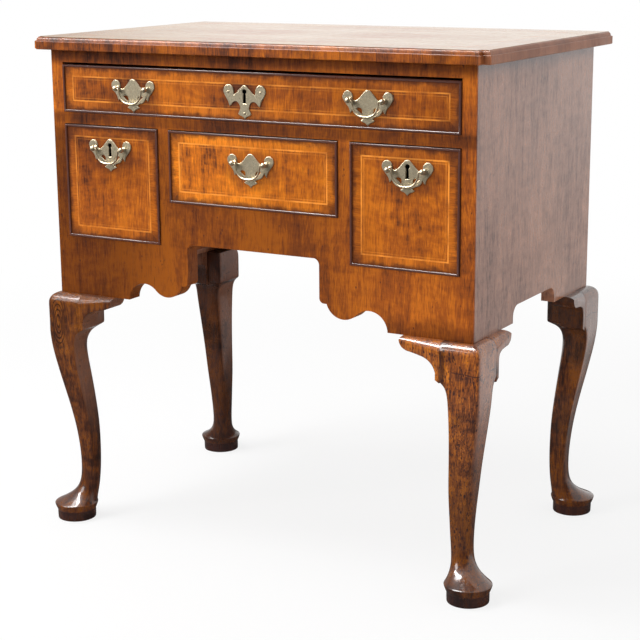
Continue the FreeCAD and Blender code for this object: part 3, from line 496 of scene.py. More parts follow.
def new_material(name):
    material = bpy.data.materials.new(name)
    mix = blank(material)
    shader = mix.add("BsdfPrincipled")
    mix.add("OutputMaterial", {"Surface": shader.outputs["BSDF"]})
    return material, mix, shader


def relief(mix, shader, height, distance, strength):
    bump = mix.add("Bump", {"Strength": strength, "Distance": distance, "Height": height})
    mix.give(shader, {"Normal": bump.outputs[0]})


def polish(mix, shader, colour, height, shade, gloss, coat, depth=0.0002, coat_gloss=0.12, level=0.5):
    """Join colour, gloss and relief to the shader of a polished wood."""
    roughness = mix.ease(shade, 0.2, 0.9, gloss + 0.1, gloss - 0.06)
    mix.give(shader, {"Base Color": colour, "Roughness": roughness, "Coat Weight": coat})
    mix.give(shader, {"Coat Roughness": coat_gloss, "Specular IOR Level": level})
    relief(mix, shader, height, depth, 0.55)


# Heights between which the front's stain changes, and under the top its painted shade, in metres.
APRON_FOOT = (0.375, 0.41)
SMALL_DRAWERS_TOP = (0.58, 0.61)
RAIL_FOOT, RAIL_TOP = (0.588, 0.598), (0.606, 0.616)
UNDER_TOP = (0.672, 0.69)
SECOND_LINE = 0.0168  # how far the second inlaid line of a drawer front lies from its cockbead
# Painted shade in the hole of a lock behind its plate: how far its middle is below the plate's peak, and its
# half sizes.
KEYHOLE_SHADE_DROP, KEYHOLE_SHADE_WIDE, KEYHOLE_SHADE_HIGH = 0.0152, 0.0052, 0.0115


class Finishes:
    """Every finish of the piece, made once from the chosen colours."""

    def __init__(self, colours):
        self.colours = colours
        self.grain, self.layout = make_grain(), make_frame_mask()
        self.halo, self.bruises = make_halo(), make_bruises()

    def begin(self, name):
        """The colours, a new material with its recipe and shader, and where a point of the piece lies."""
        material, mix, shader = new_material(name)
        return self.colours, material, mix, shader, mix.place()

    def figure(self, mix, vector, dark, middle, light, streaks=1.0, clouds=1.0, curl=0.3, pores=0.8):
        feeds = {"Vector": vector, "Dark": dark, "Middle": middle, "Light": light}
        feeds.update({"Streaks": streaks, "Clouds": clouds, "Curl": curl, "Pores": pores})
        return mix.group(self.grain, feeds)

    def bruise(self, mix, place, amount, crowd=0.0):
        return mix.group(self.bruises, {"Vector": place, "Amount": amount, "Crowd": crowd})["Mask"]

    def front(self):
        """Upright walnut veneer of the stiles, rails and apron, stained along its edges, with painted shade
        under the top.
        """
        tone, material, mix, shader, place = self.begin("Front veneer")
        wood = self.figure(mix, place, tone.umber, tone.russet, tone.amber, 0.9, 1.0, 0.5)
        x, _, z = mix.split(place)
        ragged = mix.plus(z, mix.times(mix.noise(place, 22, 3), 0.05))
        foot = mix.ease(ragged, *APRON_FOOT, 0.6, 0.0)
        patch = mix.ease(mix.noise(mix.stretch(place, (1, 1, 0.6)), 15, 4, 0.6), 0.5, 0.72, 0.0, 0.75)
        low = mix.plus(mix.ease(x, 0.06, 0.24, 0.55, 0.1), mix.ease(x, -0.24, -0.1, 0.25, 0.0))
        low = mix.times(mix.ease(z, *SMALL_DRAWERS_TOP, 1.0, 0.0), low)
        rail = mix.times(mix.ease(z, *RAIL_FOOT), mix.ease(z, *RAIL_TOP, 0.65, 0.0))
        # Painted shade on the front just under the overhang of the top.
        under = mix.ease(z, *UNDER_TOP, 0.0, 0.75)
        colour = mix.darken(mix.most(foot, patch, low, rail, under), wood["Color"])
        worm = self.bruise(mix, place, 0.7)
        colour = mix.blend(worm, colour, tone.stain)
        polish(mix, shader, colour, mix.minus(wood["Height"], worm), wood["Shade"], 0.36, 0.04, level=0.15)
        return material

    def drawer(self, name, warmth, brown, clouds, clear):
        """A drawer front: figured panel, crossbanding, two feathered lines, dirt round the brasses and
        painted shade in the keyhole.
        """
        tone, material, mix, shader, place = self.begin(f"{name.capitalize()} drawer veneer")
        shape = bpy.context.scene.lowboy_shape
        low, high, _ = box_of(f"{name}_drawer_cockbeads")
        bead, band = shape.bead_width, shape.band_width
        feeds = {"Vector": place, "Low X": low.x + bead, "Low Z": low.z + bead}
        feeds.update({"High X": high.x - bead, "High Z": high.z - bead})
        feeds.update({"Band": band, "Line": shape.line_width})
        lay = mix.group(self.layout, feeds)
        x, y, z = mix.split(place)
        light = mix.blend(warmth, tone.amber, tone.honey)
        russet = mix.blend(warmth, tone.russet, tone.ginger)
        panel = self.figure(mix, place, tone.umber, russet, light, 0.9, 0.8 * clouds, 0.7)
        level = self.figure(mix, mix.vector(z, y, x), tone.umber, russet, light, 1.0, 0.8, 0.4)
        moved = mix.stretch(place, (1, 1, 1), (0.7, 0.7, 0.7))
        upright = self.figure(mix, moved, tone.umber, russet, light, 1.1, 0.8, 0.5)
        border = mix.blend(lay["Sides"], upright["Color"], level["Color"])
        colour = mix.blend(lay["Band"], panel["Color"], mix.blend(0.18, border, light))
        broad = mix.ease(mix.noise(mix.stretch(place, (1, 1, 0.7)), 13, 3, 0.6), 0.42, 0.72, 0.0, 0.8)
        broad = mix.plus(broad, mix.times(mix.ease(x, -0.06, 0.1, -0.5, 1.5), warmth))
        colour = mix.darken(mix.plus(brown, mix.times(broad, 0.4 * clouds)), colour, (0.3, 0.24, 0.24))
        colour = mix.blend(self.inlay(mix, place, lay, clear), colour, tone.stringing)
        dirt = self.drawer_dirt(mix, name, place, lay)
        colour = mix.blend(mix.times(dirt, 0.85), colour, mix.blend(0.5, tone.umber, tone.stain))
        if name in KEYED:
            node, rise = KEYED[name]
            start, _, centre = box_of(node)
            # Painted shade: the keyhole behind the plate is painted near black.
            high_enough = mix.below(mix.apart(z, start.z + rise - KEYHOLE_SHADE_DROP), KEYHOLE_SHADE_HIGH)
            hole = mix.times(mix.below(mix.apart(x, centre.x), KEYHOLE_SHADE_WIDE), high_enough)
            colour = mix.blend(hole, colour, (0.004, 0.003, 0.003))
        worm = self.bruise(mix, place, 0.3)
        colour = mix.blend(worm, colour, tone.stain)
        inside = mix.ease(mix.split(mix.normal())[1], 0.5, 0.8)
        oak = mix.blend(mix.times(panel["Shade"], 0.5), tone.oak, (0.16, 0.09, 0.04))
        colour = mix.blend(inside, colour, oak)
        polish(mix, shader, colour, mix.minus(panel["Height"], worm), panel["Shade"], 0.34, 0.04, level=0.15)
        return material

    def inlay(self, mix, place, lay, clear):
        """Where the two feathered lines of a drawer front still show, and how clearly."""
        wave = mix.add("TexWave", {"Vector": place, "Scale": 420.0}, bands_direction="DIAGONAL")
        worn = mix.times(mix.ease(mix.noise(place, 30, 3), 0.36, 0.6, 0.3, 1.0), clear)
        second = mix.ease(mix.apart(lay["Inward"], SECOND_LINE), 0.0004, 0.0009, 0.4, 0.0)
        string = mix.times(mix.most(lay["Line"], second), worn)
        return mix.times(string, mix.ease(wave.outputs["Fac"], 0.0, 1.0, 0.72, 1.0))

    def drawer_dirt(self, mix, name, place, lay):
        """Dirt along the beads, in the corners and round each brass of a drawer front."""
        ragged = mix.swing(mix.noise(place, 55, 4, 0.68), 0.02)
        edge = mix.ease(mix.plus(lay["Inward"], ragged), -0.0005, 0.0075, 0.9, 0.0)
        corner = mix.ease(mix.plus(lay["Corner"], mix.times(ragged, 2.0)), 0.004, 0.034, 0.9, 0.0)
        dirt = mix.most(edge, corner)
        brasses = [f"{handle}_backplate" for handle, owner in HANDLES.items() if owner == name]
        for node in brasses + ["escutcheon"] * (name == "top"):
            start, end, centre = box_of(node)
            feeds = {"Vector": place, "X": centre.x, "Z": centre.z + 0.002}
            feeds.update({"Half width": (end.x - start.x) / 2, "Half height": (end.z - start.z) / 2})
            halo = mix.group(self.halo, feeds)["Mask"]
            dirt = mix.most(dirt, mix.times(halo, 0.5))
        return dirt

    def end(self):
        """The faded ends: upright grain under old grey wax, with painted shade below the top."""
        tone, material, mix, shader, place = self.begin("End boards")
        wood = self.figure(mix, place, tone.umber, tone.end_grey, (0.45, 0.19, 0.1), 1.0, 0.6, 0.5)
        patch = mix.ease(mix.noise(mix.stretch(place, (1, 1, 0.3)), 12, 4, 0.55), 0.48, 0.78, 0.0, 0.28)
        colour = mix.darken(patch, wood["Color"])
        z = mix.split(place)[2]
        # Painted shade on the ends just below the overhang of the top.
        colour = mix.blend(mix.ease(z, UNDER_TOP[0], 0.697, 0.0, 0.7), colour, tone.stain)
        worm = self.bruise(mix, place, 0.5)
        colour = mix.blend(worm, colour, tone.stain)
        coat = mix.ease(z, 0.4, 0.62, 0.4, 0.8)
        polish(mix, shader, colour, mix.minus(wood["Height"], worm), wood["Shade"], 0.3, coat)
        return material

    def top(self):
        """The quartered top with a crossbanded margin and an inlaid line, faded by the sun, and painted shade
        on the step at its edge.
        """
        tone, material, mix, shader, place = self.begin("Quartered top")
        margin = bpy.context.scene.lowboy_shape.margin
        x, y, z = mix.split(place)
        low, high, centre = box_of("top_board")
        off_x, off_y = mix.absolute(x), mix.apart(y, centre.y)
        light = (0.62, 0.4, 0.2)
        panel = self.figure(mix, mix.vector(z, off_y, off_x), tone.russet, tone.faded, light, 0.8, 0.9, 0.5)
        border = self.figure(mix, mix.vector(x, z, y), tone.russet, tone.faded, light, 1.0, 0.8, 0.3)
        in_x = mix.least(mix.minus(x, low.x), mix.minus(high.x, x))
        in_y = mix.least(mix.minus(y, low.y), mix.minus(high.y, y))
        inward = mix.least(in_x, in_y)
        colour = mix.blend(mix.below(inward, margin), panel["Color"], border["Color"])
        for off in (mix.apart(inward, margin), mix.least(off_x, off_y)):
            colour = mix.blend(mix.ease(off, 0.0004, 0.0012, 0.65, 0.0), colour, tone.umber)
        line = mix.apart(inward, margin + 0.004)
        colour = mix.blend(mix.ease(line, 0.0009, 0.0014, 0.6, 0.0), colour, tone.stringing)
        clouds = mix.ease(mix.noise(place, 16, 4, 0.6), 0.55, 0.75, 0.0, 0.35)
        colour = mix.blend(clouds, colour, tone.russet)
        # Painted shade: a dark line on the step of the board's edge, just below its surface.
        rim_foot = mix.ease(z, high.z - 0.0016, high.z - 0.0013, 0.0, 0.92)
        rim = mix.times(rim_foot, mix.ease(z, high.z - 0.0005, high.z - 0.0002, 1.0, 0.0))
        colour = mix.blend(rim, colour, tone.stain)
        polish(mix, shader, colour, panel["Height"], panel["Shade"], 0.22, 0.5)
        return material

    def moulding(self):
        """Cross-grained moulding round the top: the grain runs up and down its face, and painted sheen greys
        its right end.
        """
        tone, material, mix, shader, place = self.begin("Cross-grain moulding")
        wood = self.figure(mix, place, tone.umber, tone.russet, tone.amber, 1.1, 1.0, 0.5)
        x, y, _ = mix.split(place)
        feeds = {"W": mix.plus(x, mix.times(y, 1.6)), "Scale": 17.0}
        cell = mix.add("TexVoronoi", feeds, voronoi_dimensions="1D", feature="DISTANCE_TO_EDGE")
        joint = mix.ease(cell.outputs["Distance"], 0.0, 0.02, 0.7, 0.0)
        colour = mix.blend(joint, wood["Color"], tone.stain)
        patch = mix.ease(mix.noise(place, 20, 3), 0.5, 0.72, 0.0, 0.6)
        colour = mix.darken(mix.plus(patch, 0.22), colour)
        # Painted sheen: only the right end is greyed like the ends.
        grey = mix.ease(x, 0.333, 0.347, 0.0, 0.7)
        colour = mix.blend(grey, colour, tone.end_grey)
        height = mix.minus(wood["Height"], joint)
        polish(mix, shader, colour, height, wood["Shade"], 0.34, 0.15, 0.00012, 0.1, 0.2)
        return material

    def bead(self):
        """Dark cockbeads, rubbed lighter on the nose."""
        tone, material, mix, shader, place = self.begin("Cockbead walnut")
        dark = mix.blend(0.5, tone.umber, tone.stain)
        wood = self.figure(mix, place, tone.stain, dark, tone.umber, 0.8, 0.9, 0.2)
        depth = mix.plus(mix.split(place)[1], mix.times(mix.noise(place, 60, 3), 0.002))
        worn = mix.ease(depth, -0.1985, -0.1965, 0.35, 0.0)
        colour = mix.blend(worn, wood["Color"], (0.16, 0.062, 0.05))
        polish(mix, shader, colour, wood["Height"], wood["Shade"], 0.3, 0.8, 0.0001)
        return material

    def leg(self):
        """Solid walnut of the legs: rings at the knees, pits and dents, darker feet, painted shade behind, on
        the left and inside, and painted sheen on the right-facing sides.
        """
        tone, material, mix, shader, place = self.begin("Leg walnut")
        x, y, z = mix.split(place)
        cloud = mix.noise(place, 17, 4, 0.6)
        left, right = mix.ease(x, -0.1, 0.1, 1.0, 0.0), mix.ease(x, 0.1, 0.25)
        behind, ahead = mix.ease(y, -0.06, 0.06), mix.ease(y, -0.15, -0.05, 1.0, 0.0)
        wood = self.figure(mix, place, tone.umber, tone.leg, (0.62, 0.19, 0.02), 1.6, 0.8, 0.8, 1.2)
        rings = mix.times(self.knee_rings(mix, x, y, z, cloud), mix.ease(left, 0.0, 1.0, 0.15, 1.0))
        colour = mix.darken(rings, wood["Color"])
        sideways = mix.split(mix.normal())[0]
        shade = self.leg_shade(mix, x, z, cloud, sideways, left, behind)
        # Painted shade from leg_shade darkens the leg.
        colour = mix.darken(shade, colour)
        # Painted shade: the back left leg is made near black.
        colour = mix.blend(mix.times(mix.times(behind, left), 0.6), colour, (0.022, 0.009, 0.009))
        # Painted sheen: faces turned to the right take the grey of the ends.
        painted_side_sheen = mix.times(mix.ease(sideways, 0.6, 0.85), mix.ease(z, 0.1, 0.25, 0.0, 0.55))
        colour = mix.blend(painted_side_sheen, colour, tone.end_grey)
        disc = mix.ease(z, 0.0135, 0.016, 0.75, 0.0)
        colour = mix.blend(disc, colour, tone.stain)
        colour = mix.darken(mix.ease(cloud, 0.5, 0.68, 0.0, 0.6), colour)
        crowd = mix.times(mix.times(right, ahead), 0.13)
        worm = self.bruise(mix, place, 0.9, crowd)
        prick = self.bruise(mix, mix.stretch(place, (2.3, 2.3, 1.5)), 0.9, mix.plus(crowd, 0.04))
        wandering = mix.plus(z, mix.swing(mix.noise(place, 40, 3), 0.012))
        crack = mix.ease(mix.apart(wandering, 0.3105), 0.0003, 0.0011, 0.8, 0.0)
        crack = mix.times(crack, mix.sum("GREATER_THAN", mix.noise(place, 25, 2), 0.5))
        worm = mix.most(worm, prick, crack)
        colour = mix.blend(worm, colour, tone.stain)
        coat = mix.minus(1.0, mix.times(left, mix.ease(z, 0.05, 0.1, 0.35, 0.75)))
        height = mix.minus(wood["Height"], worm)
        polish(mix, shader, colour, height, wood["Shade"], 0.3, coat, 0.00015, 0.05, 0.3)
        return material

    def knee_rings(self, mix, x, y, z, cloud):
        """The oval rings of the grain where a knee is cut across."""
        centre, roundness = (0.326, 0.218, 0.306), (0.36, 1.5)
        off_x = mix.sum("DIVIDE", mix.minus(mix.absolute(x), centre[0]), roundness[0])
        off_y = mix.sum("DIVIDE", mix.minus(mix.absolute(y), centre[1]), roundness[1])
        knee = mix.vector(off_x, off_y, mix.minus(z, centre[2]))
        far = mix.add("VectorMath", {0: knee}, operation="LENGTH").outputs["Value"]
        far = mix.plus(far, mix.swing(cloud, 0.012))
        rings = mix.ease(mix.sum("SINE", mix.times(far, 800.0)), 0.1, 1.0, 0.0, 0.9)
        return mix.times(rings, mix.ease(far, 0.032, 0.05, 1.0, 0.0))

    def leg_shade(self, mix, x, z, cloud, sideways, left, behind):
        """How dark a leg is painted: painted shade inside, behind, on the left legs and below the ears, and
        darker low down.
        """
        out_x = mix.absolute(x)
        # Painted shade on the inner side of each leg.
        inner = mix.ease(mix.plus(out_x, mix.times(cloud, 0.006)), 0.2965, 0.3035, 1.0, 0.0)
        inner = mix.times(inner, mix.ease(out_x, 0.2878, 0.2886))
        inner = mix.times(inner, mix.ease(z, 0.13, 0.24, 0.35, 0.8))
        low = mix.ease(mix.plus(z, mix.times(cloud, 0.14)), 0.16, 0.38, 0.8, 0.0)
        # Painted shade on the back legs and on the left legs.
        back = mix.times(behind, mix.ease(z, 0.16, 0.3, 0.55, 0.95))
        back = mix.most(back, mix.times(left, 0.74))
        # Painted shadow on the inward-facing sides below the ears.
        inwards = mix.times(sideways, mix.ease(x, -0.05, 0.05, 1.0, -1.0))
        inwards = mix.times(mix.ease(inwards, 0.5, 0.85, 0.0, 0.92), mix.ease(z, 0.2, 0.28))
        return mix.most(inner, low, back, inwards)

    def wide_lining(self):
        """The oak of the back and of the drawers' bottoms and backs, with its grain across."""
        return self.lining("Dry oak across", True)

    def lining(self, name="Dry oak", across=False):
        """Unpolished oak of the drawers' sides and the runners, with its grain to the back."""
        tone, material, mix, shader, place = self.begin(name)
        x, y, z = mix.split(place)
        grain_way = mix.vector(y, z, x) if across else mix.vector(x, z, y)
        dark, light = (0.14, 0.075, 0.03), (0.42, 0.27, 0.14)
        wood = self.figure(mix, grain_way, dark, tone.oak, light, 1.6, 0.8, 0.3, 1.0)
        colour = wood["Color"]
        if across:
            for joint in (0.463, 0.581):
                crack = mix.ease(mix.apart(z, joint), 0.0005, 0.0016, 0.9, 0.0)
                colour = mix.blend(crack, colour, tone.stain)
        dust = mix.ease(mix.noise(place, 24, 4, 0.65), 0.45, 0.75, 0.0, 0.4)
        colour = mix.darken(dust, colour, (0.5, 0.5, 0.55))
        mix.give(shader, {"Base Color": colour, "Roughness": mix.ease(wood["Shade"], 0.2, 0.9, 0.82, 0.62)})
        relief(mix, shader, wood["Height"], 0.0003, 0.5)
        return material

    def metal(self, name, clean, dull, rough, spread=(0.35, 0.62)):
        """Old metal: a dull film that thins where hands rub, with small pits."""
        tone, material, mix, shader, place = self.begin(name)
        cloud = mix.noise(place, 240, 6, 0.72)
        film = mix.ease(cloud, *spread, 0.9, 0.15)
        pits = mix.ease(mix.noise(place, 900, 3, 0.6), 0.6, 0.7)
        colour = mix.blend(film, clean, dull)
        colour = mix.blend(mix.times(pits, 0.5), colour, tone.stain)
        mix.give(shader, {"Base Color": colour, "Metallic": mix.ease(film, 0.0, 1.0, 0.95, 0.6)})
        mix.give(shader, {"Roughness": mix.ease(film, 0.0, 1.0, rough, rough + 0.22)})
        relief(mix, shader, mix.minus(mix.times(cloud, 0.6), pits), 0.0001, 0.4)
        return material

    def brass(self):
        return self.metal("Aged brass", self.colours.brass, self.colours.tarnish, 0.36)

    def rubbed_brass(self):
        return self.metal("Rubbed brass", self.colours.brass, (0.46, 0.4, 0.29), 0.4, (0.25, 0.5))

    def iron(self):
        return self.metal("Bare iron", self.colours.iron, (0.07, 0.04, 0.025), 0.45)


# How honey-coloured, how brown, how cloudy and how clearly lined each drawer front is.
DRAWER_TONES = {
    "top": (0.15, 0.05, 1.3, 0.85),
    "left": (0.1, 0.18, 1.0, 0.6),
    "centre": (1.0, 0.0, 0.6, 1.0),
    "right": (0.4, 0.0, 0.7, 1.0),
}
FINISHES = {}


def finish_for(name, *choice):
    """One finish of the piece, made the first time it is asked for."""
    if "all" not in FINISHES:
        FINISHES["all"] = Finishes(bpy.context.scene.lowboy_colours)
    key = (name, *choice)
    if key not in FINISHES:
        FINISHES[key] = getattr(FINISHES["all"], name)(*choice)
    return FINISHES[key]


# --- the pieces ------------------------------------------------------------------------------------------

# A leg's sections from the floor up, in millimetres: height, how far the outer and inner faces lie outside
# the corner of the case, and how round the outer, side and inner corners are, from 0, sharp, to 1, a circle.
LEG_SECTIONS = (
    (0.0, 21.6, -32.6, 1, 1, 1),
    (0.5, 22.5, -33.5, 1, 1, 1),
    (1.6, 22.7, -33.7, 1, 1, 1),
    (7.0, 22.8, -33.8, 1, 1, 1),
    (12.4, 22.9, -33.9, 1, 1, 1),
    (13.5, 22.6, -33.6, 1, 1, 1),
    (14.2, 23.2, -34.2, 1, 1, 1),
    (18.5, 25.0, -36.0, 1, 1, 1),
    (22.6, 26.5, -37.5, 1, 1, 1),
    (24.3, 26.6, -37.6, 1, 1, 1),
    (25.5, 24.8, -36.6, 1, 1, 1),
    (30.0, 15.4, -35.3, 1, 1, 1),
    (37.0, 4.4, -34.7, 1, 1, 1),
    (47.0, -4.2, -34.9, 1, 0.95, 1),
    (62.0, -8.0, -36.2, 1, 0.85, 1),
    (88.0, -8.6, -37.4, 0.95, 0.65, 0.95),
    (115.0, -7.1, -37.2, 0.9, 0.45, 0.8),
    (145.0, -4.4, -36.2, 0.78, 0.2, 0.6),
    (180.0, 0.5, -33.4, 0.6, 0.08, 0.5),
    (212.0, 6.4, -30.8, 0.52, 0.05, 0.5),
    (240.0, 11.3, -29.1, 0.48, 0.05, 0.65),
    (262.0, 14.4, -28.9, 0.4, 0.05, 0.85),
    (276.0, 15.2, -29.6, 0.3, 0.05, 0.8),
    (285.0, 15.3, -31.8, 0.22, 0.05, 0.6),
    (290.5, 15.3, -34.8, 0.18, 0.05, 0.4),
    (294.3, 15.3, -39.2, 0.15, 0.05, 0.25),
    (297.6, 15.3, -43.6, 0.12, 0.05, 0.15),
    (299.4, 15.3, -43.9, 0.12, 0.05, 0.15),
    (326.0, 15.4, -43.9, 0.12, 0.05, 0.15),
    (333.2, 15.45, -43.9, 0.12, 0.05, 0.15),
    (337.8, 14.8, -43.9, 0.12, 0.05, 0.15),
    (341.9, 12.7, -43.9, 0.12, 0.05, 0.15),
    (345.2, 9.4, -43.9, 0.12, 0.05, 0.15),
    (347.2, 5.2, -43.9, 0.12, 0.05, 0.15),
    (347.9, 0.6, -43.9, 0.12, 0.05, 0.15),
)
# How far each foot stands off its true place, in metres: no two legs of an old piece stand alike.
FOOT_LEAN = {"front_right": (0.003, -0.005), "back_right": (-0.0045, 0.0), "back_left": (0.0075, 0.0)}
KNEE_HEIGHT = 0.3  # above this a leg does not lean


class Section:
    """One ring of a leg's cage: eight points, as a square with its corners cut."""

    def __init__(self, height, outer, inner, *roundings):
        # Smoothing pulls the cage in, so its corners are cut less than they look and its flats are wider.
        self.cuts = [min(0.985, 1.098 - 0.684 * rounding) for rounding in roundings]
        self.flat = (outer - inner) / 2 * MM / (0.9583 + 0.0417 * self.cuts[1])
        reach = (outer + inner) / 2 * MM
        self.middle = Vector((CASE_RIGHT + reach, CASE_FRONT - reach, height * MM))

    def cut(self, way_x, way_y):
        """Where the corner on these sides is cut, as a share of the half width."""
        return self.cuts[1 if way_x == way_y else (0 if way_x > 0 else 2)]


class LOWBOY_OT_legs(bpy.types.Operator):
    """Draw out one cabriole leg ring by ring, smooth it and mirror it to the other corners"""

    bl_idname = "lowboy.legs"
    bl_label = "Cabriole legs"

    def execute(self, context):
        rings = [Section(*numbers) for numbers in LEG_SECTIONS]
        first = rings[0]
        let_go()
        bpy.ops.mesh.primitive_circle_add(
            vertices=8,
            radius=first.flat / math.cos(math.pi / 8),
            fill_type="NGON",
            location=first.middle,
            rotation=(0, 0, math.pi / 8),
        )
        leg = context.object
        apply_place(leg)
        edit()
        pick_all()
        for before, after in zip(rings, rings[1:]):
            self.draw_out(before, after)
        tidy()
        smooth = leg.modifiers.new("Smoothing", "SUBSURF")
        smooth.levels = smooth.render_levels = context.scene.lowboy_shape.smoothness
        bpy.ops.object.modifier_apply(modifier=smooth.name)
        for name, (side, end) in LEGS.items():
            piece = again(leg, f"{name}_leg_shaped", flip=(side, -end, 1))
            self.lean(piece, FOOT_LEAN.get(name, (0, 0)))
            finish(piece, finish_for("leg"), "carcase", [f"{name}_leg"], 180)
        discard(leg)
        return {"FINISHED"}

    def draw_out(self, before, after):
        """Extrude the end of the leg to its next section and cut its corners as that section asks."""
        share = after.flat / before.flat
        grow(after.middle - before.middle, (share, share, 1), after.middle)
        height, half = after.middle.z, after.flat
        for way_x in (-1, 1):
            for way_y in (-1, 1):
                change = (after.cut(way_x, way_y) - before.cut(way_x, way_y)) * half
                if abs(change) < 1e-7:
                    continue
                for axis, shift in ((0, (0, way_y * change, 0)), (1, (way_x * change, 0, 0))):

                    def on_corner(vertex):
                        off = vertex.co - after.middle
                        flat = near(abs(off[axis]), half, 2e-5)
                        return near(off.z, 0) and off.x * way_x > 0 and off.y * way_y > 0 and flat

                    pick("VERT", on_corner)
                    bpy.ops.transform.translate(value=shift)
        pick("FACE", lambda face: near(face.calc_center_median().z, height, 1e-6))

    def lean(self, leg, foot):
        """Tilt a leg about the case, so that its foot moves and its knee stays."""
        for vertex in leg.data.vertices:
            share = max(0.0, 1 - vertex.co.z / KNEE_HEIGHT)
            vertex.co.x += foot[0] * share
            vertex.co.y += foot[1] * share


# Outlines of the ears in millimetres, from inside the leg: how far outside the corner of the case, and how
# far above its bottom edge. A third number is the bulge of the arc that ends there.
FRONT_EAR = (
    (-40.4, 0), (-98.6, 0), (-98.2, -4), (-86.5, -16.6, 0.3), (-68.7, -20.5, -0.03),
    (-50.4, -31.9, -0.2), (-46.6, -41.0, -0.08), (-46.6, -50.2), (-41.2, -53.6), (-40.4, -53.6),
)
SIDE_EAR = (
    (-40.4, 0), (-86.6, 0), (-86.4, -4), (-76.5, -17.4, 0.32), (-60, -18.9, -0.02),
    (-50.8, -22.9, -0.12), (-48.2, -33, -0.14), (-48.2, -53.8), (-41.4, -58), (-40.4, -58),
)
EAR_SEAT = 0.019  # how far an ear reaches behind the face of the case
EAR_ARRIS = 0.0011  # how much its lower edges are rounded


class LOWBOY_OT_ears(bpy.types.Operator):
    """Saw the ears beside the knees to their outline and round their shoulders over"""

    bl_idname = "lowboy.ears"
    bl_label = "Ears"

    def execute(self, context):
        proud = CASE_FRONT - box_of("front_leg_ears")[0].y
        half = (proud + EAR_SEAT) / 2
        front = self.make_ear(context, "front_right_ear", FRONT_EAR, half)
        front.rotation_euler = (math.pi / 2, 0, 0)
        front.location = (CASE_RIGHT, CASE_FRONT - proud + half, CASE_FOOT)
        apply_place(front)
        self.fit_all("front_ears_shaped", front, [(-1, 1, 1)], "front_leg_ears")
        side = self.make_ear(context, "back_right_ear", SIDE_EAR, half)
        side.rotation_euler = (math.pi / 2, 0, math.pi / 2)
        side.location = (CASE_RIGHT + proud - half, CASE_BACK, CASE_FOOT)
        apply_place(side)
        self.fit_all("side_ears_shaped", side, [(-1, 1, 1), (1, -1, 1), (-1, -1, 1)], "side_leg_ears")
        return {"FINISHED"}

    def fit_all(self, name, ear, flips, node):
        """Mirror an ear to the other corners and make the ears one piece."""
        ears = [ear] + [again(ear, f"{name}_{number}", flip=flip) for number, flip in enumerate(flips)]
        finish(join(ears, name), finish_for("leg"), "carcase", [node], 40)

    def make_ear(self, context, name, outline, half):
        """An ear lying flat: its outline, the big shoulder along its top edge and small ones below."""
        ear = to_mesh(outline_curve(name, [scaled(outline)], half * 2, 0))
        edit()
        pick_all()
        bpy.ops.mesh.dissolve_limited(angle_limit=math.radians(1))
        shoulder = context.scene.lowboy_shape.shoulder
        pick("EDGE", lambda edge: all(near(v.co.y, 0) and near(v.co.z, half) for v in edge.verts))
        bpy.ops.mesh.bevel(offset=shoulder, segments=10, affect="EDGES")

        def on_lower_rim(edge):
            on_face = all(near(v.co.z, half) and v.co.y < -shoulder * 0.9 for v in edge.verts)
            return on_face and not edge.is_boundary and edge.calc_face_angle(0) > 1

        pick("EDGE", on_lower_rim)
        bpy.ops.mesh.bevel(offset=EAR_ARRIS, segments=3, affect="EDGES")
        tidy()
        return ear


class LOWBOY_OT_moulding(bpy.types.Operator):
    """Run the moulding round the top: a flat band, a quirk and an ovolo, stepped in at the front corners"""

    bl_idname = "lowboy.moulding"
    bl_label = "Top moulding"

    def execute(self, context):
        low, high, centre = box_of("top_moulding")
        notch, ease, shelf, ovolo = 0.01, 0.0009, 0.001, 0.0046
        band_low, band_high = low.z + ease, low.z + 0.0107
        let_go()
        bpy.ops.mesh.primitive_plane_add(size=1, location=(centre.x, centre.y, band_low))
        rim = context.object
        rim.name = "top_moulding_shaped"
        rim.scale = (high.x - low.x, high.y - low.y, 1)
        apply_place(rim)
        edit()
        along, across = (1, 0, 0), (0, 1, 0)
        left, right, front = low.x + notch, high.x - notch, low.y + notch
        for place, way in (((left, 0, 0), along), ((right, 0, 0), along), ((0, front, 0), across)):
            pick_all()
            bpy.ops.mesh.bisect(plane_co=place, plane_no=way)

        def in_front_corner(face):
            spot = face.calc_center_median()
            return spot.y < front and abs(spot.x) > right

        pick("FACE", in_front_corner)
        bpy.ops.mesh.delete(type="FACE")
        pick_all()
        bpy.ops.mesh.dissolve_limited(angle_limit=math.radians(1))
        pick_all()
        grow((0, 0, band_high - band_low))
        self.step(ease, ease * 0.9)
        self.step(shelf, 0.0)
        self.step(0.0002, 0.0009)
        steps = 6
        for index in range(steps):
            start, end = (math.pi / 2 * (index + share) / steps for share in (0, 1))
            inwards, upwards = math.cos(start) - math.cos(end), math.sin(end) - math.sin(start)
            self.step(ovolo * inwards * 0.72, ovolo * upwards)
        self.step(0.002, -0.004)
        pick("FACE", lambda face: near(face.calc_center_median().z, band_low, 1e-6) and len(face.verts) > 4)
        self.step(ease, ease)
        self.step(0.0056, 0)
        self.step(0.001, -0.004)
        tidy()
        finish(rim, finish_for("moulding"), "carcase", ["top_moulding"], 32)
        return {"FINISHED"}

    def step(self, inwards, upwards):
        """Take the selected end of the moulding inwards, and upwards or out of it."""
        bpy.ops.mesh.inset(thickness=max(inwards, 1e-6), depth=upwards)


